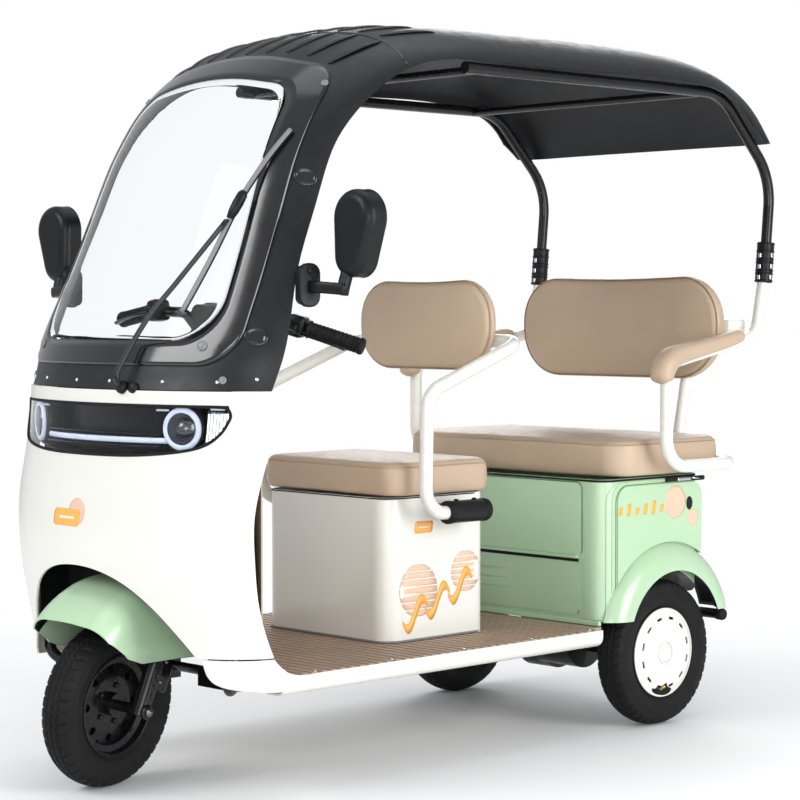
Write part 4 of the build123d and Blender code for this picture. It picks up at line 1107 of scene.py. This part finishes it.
def wheel_arches():
    centre = STEER @ at(0, -0.79, WHEEL_RADIUS)
    axle = (STEER.to_3x3() @ Vector((1, 0, 0))).normalized()
    # painted shade: the front guard, the rear guards and the rear body's wheel wells go matt black on faces
    # towards the wheel
    shade_inside("guard_green", centre, axle)
    shade_inside("flare_green", at(0, FLARE_Y, FLARE_Z))
    shade_inside("body_green", at(0, REAR_AXLE_Y, WHEEL_RADIUS), limit=0.262)
    paint("front_fender", "guard_green")
    paint("rear_fenders", "flare_green")
    paint("rear_body", "body_green")
    # skirts that carry the front guard's lower edge past the fork
    line = [(-0.905, 0.3125), (-0.86, 0.297), (-0.7, 0.291), (-0.64, 0.2895), (-0.64, 0.33), (-0.7, 0.34),
            (-0.79, 0.344), (-0.88, 0.338), (-0.915, 0.32)]
    parts = []
    for s in (1, -1):
        outer = [at(s * 0.1162, y, z) for y, z in line]
        inner = [at(s * 0.1132, y, z) for y, z in line]
        n = len(line)
        faces = [tuple(range(n)), tuple(n + k for k in range(n))[::-1]]
        parts.append((outer + inner, faces + rim_faces(list(range(n)), n)))
    piece("front_guard_skirts", *steered(join(parts)), "green_plastic", "steering", smooth=False)
    # black wall that closes the tail of each rear arch, and the foot of the front wheel's liner
    parts = []
    inner, outer, cols, rows = 0.2262, 0.229, 13, 7
    for s in (1, -1):
        sheet = []
        for r in (inner, outer):
            for k in range(cols):
                a = radians(17.2 + 36 * k / (cols - 1))
                sheet += [at(s * (0.306 + 0.0765 * j / (rows - 1)), FLARE_Y + r * cos(a), FLARE_Z + r * sin(a))
                          for j in range(rows)]
        parts.append((sheet, sheet_faces(cols, rows)))
        a = radians(28)
        spot = at(s * 0.352, FLARE_Y + 0.226 * cos(a), FLARE_Z + 0.226 * sin(a))
        parts.append(hoop([(0.0055, 0.0), (0.0085, 0.0012), (0.0085, -0.001), (0.0055, -0.0012)], spot,
                          (0, -cos(a), -sin(a)), 20))
    piece("arch_walls", *join(parts), "black_plastic")
    plan = smooth_path([(-0.308, -0.712, 0), (-0.246, -0.612, 0), (-0.14, -0.5395, 0), (0, -0.517, 0),
                        (0.14, -0.5395, 0),
                        (0.246, -0.612, 0), (0.308, -0.712, 0)], 8)
    verts, faces = [], []
    for p in plan:
        for y, z in ((0.0, 0.26), (0.0, 0.304), (0.0025, 0.304), (0.0025, 0.26)):
            verts.append(at(p.x, p.y + y, z))
    n = len(plan)
    for k in range(n - 1):
        faces += [(4 * k + j, 4 * k + (j + 1) % 4, 4 * k + 4 + (j + 1) % 4, 4 * k + 4 + j) for j in range(4)]
    faces += [(0, 1, 2, 3), (4 * n - 1, 4 * n - 2, 4 * n - 3, 4 * n - 4)]
    piece("liner_foot", verts, faces, "black_plastic")


wheel_arches()


# ---- lines, latches and trim of the rear body ----
def body_trim():
    body = sight("rear_body")
    # the dark green lines are painted shade of the grooves beside the real beads
    for s, side in BOTH:
        for name, start, top, radius, mat in (("panel_groove_shade", 0.4515, 0.615, 0.0013, "green_painted_shade"),
                                              ("panel_bead", 0.44, 0.6215, 0.0024, "green_plastic"),
                                              ("panel_bead_front", 0.425, 0.6215, 0.002, "green_plastic")):
            bend = 0.042
            rays = [(at(s * 0.9, start, 0.294 + (top - bend - 0.294) * k / 24), (-s, 0, 0)) for k in range(24)]
            rays += [(at(s * 0.9, start + bend - bend * cos(a), top - bend + bend * sin(a)), (-s, 0, 0))
                     for a in (pi / 2 * k / 10 for k in range(11))]
            if name != "panel_bead_front":
                rays += [(at(s * 0.9, start + bend + (0.775 - start - bend) * k / 24, top), (-s, 0, 0))
                         for k in range(1, 25)]
            surface_line(name + "_" + side, rays, body, radius, mat, out=0.0002, sides=8)
    # dark line round the flap as painted shade of its groove, a dark strip as painted shadow under its lip,
    # faint ribs on the lower panel
    outline = round_rect(0.3015, 0.0925, 0.018, 8, 16)
    rays = [(at(x, -0.3, 0.531 + z), BACKWARD) for x, z in outline if z > -0.085]
    cut = max(range(len(rays)), key=lambda k: (rays[k][0] - rays[k - 1][0]).length)
    rays = rays[cut:] + rays[:cut]
    path = [hit(body, at(x.x, 0.2, x.z), d)[0] for x, d in rays]
    pipe("flap_groove_shade", [p for p in path if p is not None], 0.0013, "green_painted_shade", sides=6)
    # painted shadow: a dark sheet under the flap's lip
    gap = slab_mesh(at(0, 0.4053, 0.429), (0.586, 0.0078, 0.0012), 0.0005, toward(FORWARD))
    piece("flap_lip_shadow", *gap, "rubber")
    parts = []
    for z in (0.389, 0.366, 0.343):
        path = [at(-0.262 + 0.33 * k / 20, 0.4066, z) for k in range(21)]
        parts.append(pipe_mesh(path, [0.0005 + 0.0022 * min(1, 4 * min(k, 20 - k) / 20) for k in range(21)], 8))
    piece("flap_ribs", *join(parts), "green_plastic")
    # dark strip along the top edge as painted shade in the gap under the bench cushion, foot seal on the deck
    strip = round_rect(0.3712, 0.1922, 0.041, 8, 10)
    path = [at(x, 0.601 + y, 0.6285) for x, y in strip]
    pipe("body_top_shade_line", path, 0.0026, "rubber", sides=8, closed=True)
    foot = slab_mesh(at(0, 0.4085, 0.2762), (0.724, 0.013, 0.01), 0.002, toward(FORWARD))
    piece("body_foot", *foot, "green_plastic")
    # toggle latch and lock on both sides
    for s, side in BOTH:
        turn = toward((s, 0, 0))
        dark = [slab_mesh(at(s * 0.3815, 0.715, 0.6215), (0.15, 0.01, 0.011), 0.003, turn),
                slab_mesh(at(s * 0.385, 0.765, 0.6215), (0.04, 0.012, 0.01), 0.003, turn)]
        piece("latch_base_" + side, *join(dark), "black_plastic")
        handle = [at(s * 0.3875, 0.735, 0.6235), at(s * 0.3885, 0.752, 0.6215), at(s * 0.388, 0.768, 0.6205)]
        bright = [slab_mesh(at(s * 0.3862, 0.705, 0.6215), (0.052, 0.0075, 0.006), 0.002, turn),
                  pipe_mesh(handle, 0.0022, 8)]
        piece("latch_lever_" + side, *join(bright), "chrome")
        lock = lathe_mesh([(0.0115, -0.002), (0.0115, 0.0015), (0.0095, 0.0035), (0.004, 0.004),
                           (0.0036, 0.0026),
                           (0.0004, 0.0026)], at(s * 0.379, 0.735, 0.558), (s, 0, 0), 28)
        lock = ([Vector((v.x, v.y, 0.558 + (v.z - 0.558) * 1.5)) for v in lock[0]], lock[1])
        piece("body_lock_" + side, *lock, "black_plastic")


# dark green for the painted shade in the grooves of the rear body
plain("green_painted_shade", (0.12, 0.2, 0.11), (0.4, 0.5), 0.05, 9.0)
body_trim()


# ---- plain decals: own motifs in the same colours and places ----
def decals():
    nose, box, body = sight("front_fairing"), sight("seat_box"), sight("rear_body")
    across, up = Vector((1, 0, 0)), Vector(UP)
    nose_plane = (at(-0.026, -1.0, 0.6), across, up, nose)
    patch("nose_spot", disc(0.029, 0.037, 0.014), *nose_plane, "decal_tan", 0.0006)
    patch("nose_label", pill(0.049, 0.0185, 0.01, 0.18), *nose_plane, "decal_orange", 0.0011)
    patch("nose_bar", pill(0.03, 0.0028, 0.0026, 0.18), *nose_plane, "cream_plastic", 0.0016, 3)
    for s, side in BOTH:
        along = Vector((0, s, 0))
        # seat box: two striped discs, three waves and a label
        box_plane = (at(s * 0.22, -0.012, 0.376), along, up, box)
        for tag, cx, cy, radius in (("a", -0.069, 0.013, 0.063), ("b", 0.09, 0.047, 0.05)):
            for k in range(7):
                low = -radius + 2 * radius * k / 7 + 0.0016
                high = low + 2 * radius / 7 - 0.0032
                heights = [low + (high - low) * j / 6 for j in range(7)]
                wide = [(sqrt(max(radius ** 2 - h * h, 1e-6)), h) for h in heights]
                outline = [(cx + x, cy + h) for x, h in wide] + [(cx - x, cy + h) for x, h in wide[::-1]]
                patch("box_stripe_%s%d_%s" % (tag, k, side), outline, *box_plane, "decal_tan", 0.0004, 2)
        scale = 1.32
        for k, (cx, cy) in enumerate(((-0.062, -0.046), (-0.006, -0.026), (0.052, -0.004))):
            above, below = [], []
            for j in range(25):
                t = j / 24
                swell = sin(pi * t)
                x = scale * (cx - 0.03 + 0.062 * t)
                y = scale * (cy - 0.018 * sin(2 * pi * t) + 0.028 * t + 0.0085 * swell + 0.004)
                above.append((x, y))
                below.append((x + 0.001, y - 0.01 - 0.022 * swell))
            ribbon("box_wave_%d_%s" % (k, side), above, below, *box_plane, "decal_orange", 0.0012)
        patch("box_label_" + side, pill(0.03, 0.014, 0.007, 0.12, -0.052, 0.162), *box_plane, "decal_orange",
              0.0006, 3)
        patch("box_label_bar_" + side, pill(0.018, 0.0022, 0.002, 0.12, -0.052, 0.162), *box_plane,
              "cream_plastic",
              0.0011, 2)
        # body: a row of upright marks and two spots
        body_plane = (at(s * 0.379, 0.56, 0.552), along, up, body)
        marks = ((0.011, 0), (0.016, 0.002), (0.009, -0.003), (0.014, 0.001), (0.018, 0.003), (0.01, 0))
        for k, (high, shift) in enumerate(marks):
            outline = pill(0.0075, high, 0.0065, 0.15, -0.095 + 0.032 * k, shift)
            patch("body_mark_%d_%s" % (k, side), outline, *body_plane, "decal_orange", 0.0005, 2)
        patch("body_spot_large_" + side, disc(0.042, 0.119, 0.012), *body_plane, "decal_tan", 0.0004)
        patch("body_spot_small_" + side, disc(0.0215, 0.189, -0.032), *body_plane, "decal_tan", 0.0004)


def ribbon(name, above, below, origin, u, v, tree, mat, out):
    """Flat band between two lines of a motif, laid on a surface."""
    w = u.cross(v)
    rows = []
    for line in (above, below):
        for a, b in line:
            spot = origin + u * a + v * b
            rows.append((hit(tree, spot + w * 0.4, -w)[0] or tree.find_nearest(spot)[0]) + w * out)
    n = len(above)
    verts = rows + [p - w * 0.0011 for p in rows]
    faces = [(k, k + 1, n + k + 1, n + k) for k in range(n - 1)]
    faces += [tuple(2 * n + i for i in f[::-1]) for f in faces]
    rim = list(range(n)) + list(range(2 * n - 1, n - 1, -1))
    piece(name, verts, faces + rim_faces(rim, 2 * n), mat)


decals()


# ---- tubes, sleeves and the tail ----
def tail():
    rings, bolts = [], []
    band = [(0.0222, -0.0028), (0.0238, -0.0016), (0.0238, 0.0016), (0.0222, 0.0028)]
    for s in (1, -1):
        low, high = at(s * 0.4, 1.0142, 1.125), at(s * 0.4, 1.0244, 1.229)
        along = (high - low).normalized()
        rings += [hoop(band, low.lerp(high, t), along, 32) for t in (0.03, 0.22, 0.3, 0.5, 0.58, 0.78, 0.97)]
        bolts += [slab_mesh(low.lerp(high, t) + Vector(way) * 0.0218, (0.0085, 0.0125, 0.0045), 0.0015,
                            toward(way))
                  for t in (0.13, 0.4, 0.68) for way in ((s, 0, 0), FORWARD)]
    piece("post_sleeve_rings", *join(rings), "black_plastic")
    piece("post_sleeve_bolts", *join(bolts), "chrome")

    # sleeves on the driver's arm frame
    rings = []
    band = [(0.0262, -0.0025), (0.0276, -0.0012), (0.0276, 0.0012), (0.0262, 0.0025)]
    end = [(0.0262, -0.006), (0.0255, 0.0005), (0.02, 0.004), (0.0004, 0.0055)]
    x, z = 0.295, 0.577
    for s in (1, -1):
        rings += [hoop(band, at(s * x, y, z), BACKWARD, 36) for y in (-0.06, -0.052, 0.062, 0.055)]
        rings.append(lathe_mesh(end, at(s * x, 0.068, z), BACKWARD, 36))
        rings += [lathe_mesh(head(0.006, 0.003, 0.0045, 0.004), at(s * x, y, z + 0.026), UP, 12)
                  for y in (-0.03, 0.03)]
    piece("arm_sleeve_rings", *join(rings), "black_plastic")
    end = [(0.0132, -0.02), (0.0152, -0.018), (0.0155, -0.002), (0.0135, 0.0025), (0.0004, 0.0035)]
    caps = [lathe_mesh(end, at(s * 0.404, 0.846, 0.263), (s, 0, 0), 28) for s in (1, -1)]
    piece("bumper_caps", *join(caps), "rubber")

    # tail lamps, blank plate and the backrests' brackets
    turn = toward(BACKWARD)
    frames, bands, clamps = [], [], []
    for x in (0.3, -0.3):
        frames += [slab_mesh(at(x, 0.8035, z), (0.096, 0.004, 0.02), 0.0018, turn)
                   for z in (0.4615, 0.4185, 0.5018)]
        frames += [slab_mesh(at(x + dx, 0.8035, 0.46), (0.004, 0.087, 0.02), 0.0018, turn)
                   for dx in (-0.047, 0.047)]
        bands += [slab_mesh(at(x - 0.036 + 0.018 * k, 0.8124, z), (0.014, 0.03, 0.0022), 0.001, turn)
                  for z in (0.48, 0.44) for k in range(5)]
    piece("tail_lamp_frames", *join(frames), "black_plastic")
    piece("tail_lamp_cells", *join(bands), "red_lens")
    plate_z = 0.545
    plate = slab_mesh(at(0, 0.799, plate_z), (0.232, 0.084, 0.0016), 0.0006, turn, upright=0.008)
    piece("number_plate", *plate, "cream_metal")
    rim = round_rect(0.11, 0.036, 0.006, 6, 6)
    pipe("plate_border", [at(x, 0.8, plate_z + z) for x, z in rim], 0.0008, "rubber", sides=6, closed=True)
    head_shape = [(0.0058, 0), (0.0058, 0.002), (0.0042, 0.0034), (0.0004, 0.0036)]
    screws = [lathe_mesh(head_shape, at(x, 0.7998, plate_z + dz), BACKWARD, 12)
              for x in (-0.09, 0.09) for dz in (-0.03, 0.03)]
    piece("plate_screws", *join(screws), "spring_steel")
    for s in (1, -1):
        clamps.append(slab_mesh(at(s * 0.15, 0.186, 0.976), (0.05, 0.046, 0.024), 0.006, turn))
        clamps.append(slab_mesh(at(s * 0.345, 0.955, 1.01), (0.034, 0.034, 0.07), 0.008, turn))
    piece("backrest_brackets", *join(clamps), "cream_metal")


tail()


# ---- deck, seat box and underside ----
def deck():
    rivet = [(0.0048, -0.001), (0.0048, 0.0008), (0.0032, 0.0022), (0.0004, 0.0026)]
    rivets = [lathe_mesh(rivet, at(s * 0.388, y, 0.2702), UP, 16)
              for s in (1, -1) for y in (-0.56, -0.33, -0.1, 0.13, 0.34)]
    piece("deck_rivets", *join(rivets), "chrome")
    # the upper dark strip is painted shade in the gap under the driver's cushion; the lower one is a grey seal
    # at the box's foot
    for name, a, b, z, radius, mat in (("box_top_shade_line", 0.2188, 0.1663, 0.6095, 0.0021, "rubber"),
                                       ("box_foot_seal", 0.2212, 0.1687, 0.273, 0.0026, "grey_trim")):
        path = [at(x, -0.0175 + y, z) for x, y in round_rect(a, b, 0.046, 8, 8)]
        pipe(name, path, radius, mat, sides=8, closed=True)
    parts, bolts = [], []
    for s in (1, -1):
        for y in (-0.42, -0.04, 0.3):
            parts.append(slab_mesh(at(s * 0.27, y, 0.2365), (0.15, 0.034, 0.012), 0.004))
            parts.append(slab_mesh(at(s * 0.338, y, 0.244), (0.016, 0.04, 0.018), 0.004))
            bolts.append(lathe_mesh(head(0.0085, 0.005, 0.006, 0.0065), at(s * 0.325, y, 0.2305), (0, 0, -1),
                                    6))
    piece("sill_brackets", *join(parts), "black_metal")
    piece("bracket_bolts", *join(bolts), "spring_steel")


deck()


# ---- camera, stage and light ----
def seen_or_through(owner):
    """1 for rays from the camera and for rays that have passed through glass."""
    path = add(owner, "ShaderNodeLightPath").outputs
    return operate(owner, "Math", "MAXIMUM", path["Is Camera Ray"], path["Is Transmission Ray"])["Value"]


def stage():
    floor_mat = shader("studio_floor", (0.92, 0.92, 0.92), 0.9, specular=0.1)
    nodes, links = floor_mat.node_tree.nodes, floor_mat.node_tree.links
    coord = add(floor_mat, "ShaderNodeTexCoord")
    distance = operate(floor_mat, "VectorMath", "LENGTH", coord.outputs["Object"])["Value"]
    fade = add(floor_mat, "ShaderNodeMapRange", interpolation_type="SMOOTHSTEP", From_Min=1.1, From_Max=2.6)
    links.new(distance, fade.inputs["Value"])
    far = operate(floor_mat, "Math", "MULTIPLY", fade.outputs["Result"], seen_or_through(floor_mat))["Value"]
    mix = add(floor_mat, "ShaderNodeMixShader")
    links.new(far, mix.inputs["Fac"])
    links.new(nodes["Principled BSDF"].outputs["BSDF"], mix.inputs[1])
    links.new(add(floor_mat, "ShaderNodeEmission").outputs["Emission"], mix.inputs[2])
    links.new(mix.outputs["Shader"], nodes["Material Output"].inputs["Surface"])
    mesh = bpy.data.meshes.new("studio_floor")
    reach = 60.0
    mesh.from_pydata([(-reach, -reach, 0), (reach, -reach, 0), (reach, reach, 0), (-reach, reach, 0)], [],
                     [(0, 1, 2, 3)])
    mesh.materials.append(floor_mat)
    floor = bpy.data.objects.new("studio_floor", mesh)
    bpy.context.scene.collection.objects.link(floor)

    world = bpy.data.worlds.new("studio")
    world.use_nodes = True
    nodes, links = world.node_tree.nodes, world.node_tree.links
    back = nodes["Background"]
    back.inputs["Color"].default_value = (0.93, 0.95, 1.0, 1)
    back.inputs["Strength"].default_value = 0.55
    white = add(world, "ShaderNodeBackground", Color=(1, 1, 1, 1), Strength=1.0)
    mix = add(world, "ShaderNodeMixShader")
    links.new(seen_or_through(world), mix.inputs["Fac"])
    links.new(back.outputs["Background"], mix.inputs[1])
    links.new(white.outputs["Background"], mix.inputs[2])
    links.new(mix.outputs["Shader"], nodes["World Output"].inputs["Surface"])
    bpy.context.scene.world = world
    bpy.context.scene.view_settings.view_transform = "Standard"


def area(name, place, target, size, energy):
    data = bpy.data.lights.new(name, "AREA")
    data.shape = "RECTANGLE"
    data.size, data.size_y = size
    data.energy = energy
    obj = bpy.data.objects.new(name, data)
    obj.location = place
    obj.rotation_euler = (Vector(target) - Vector(place)).to_track_quat("-Z", "Y").to_euler()
    bpy.context.scene.collection.objects.link(obj)


def camera():
    data = bpy.data.cameras.new("camera")
    data.sensor_width = 36.0
    data.lens = 101.08
    data.clip_end = 200
    obj = bpy.data.objects.new("camera", data)
    obj.location = (3.99865, -3.80581, 1.04654)
    obj.rotation_euler = (radians(90 - 2.24), 0, radians(46.03))
    bpy.context.scene.collection.objects.link(obj)
    bpy.context.scene.camera = obj


stage()
area("key", (-1.0, -5.0, 4.0), (0, 0, 0.6), (3.0, 2.5), 150)
area("side", (5.5, 0.8, 2.6), (0, 0, 0.8), (2.6, 2.2), 120)
area("top", (0, 0.5, 6.0), (0, 0, 0), (4.0, 5.0), 60)
area("fill", (4.6, -4.4, 1.3), (0, 0, 0.5), (3.2, 2.2), 110)
area("low_side", (5.2, 0.6, 0.9), (0, 0, 0.4), (2.6, 1.6), 70)
area("back", (-3.5, 4.5, 3.0), (0, 0, 0.9), (3.0, 2.0), 90)
camera()
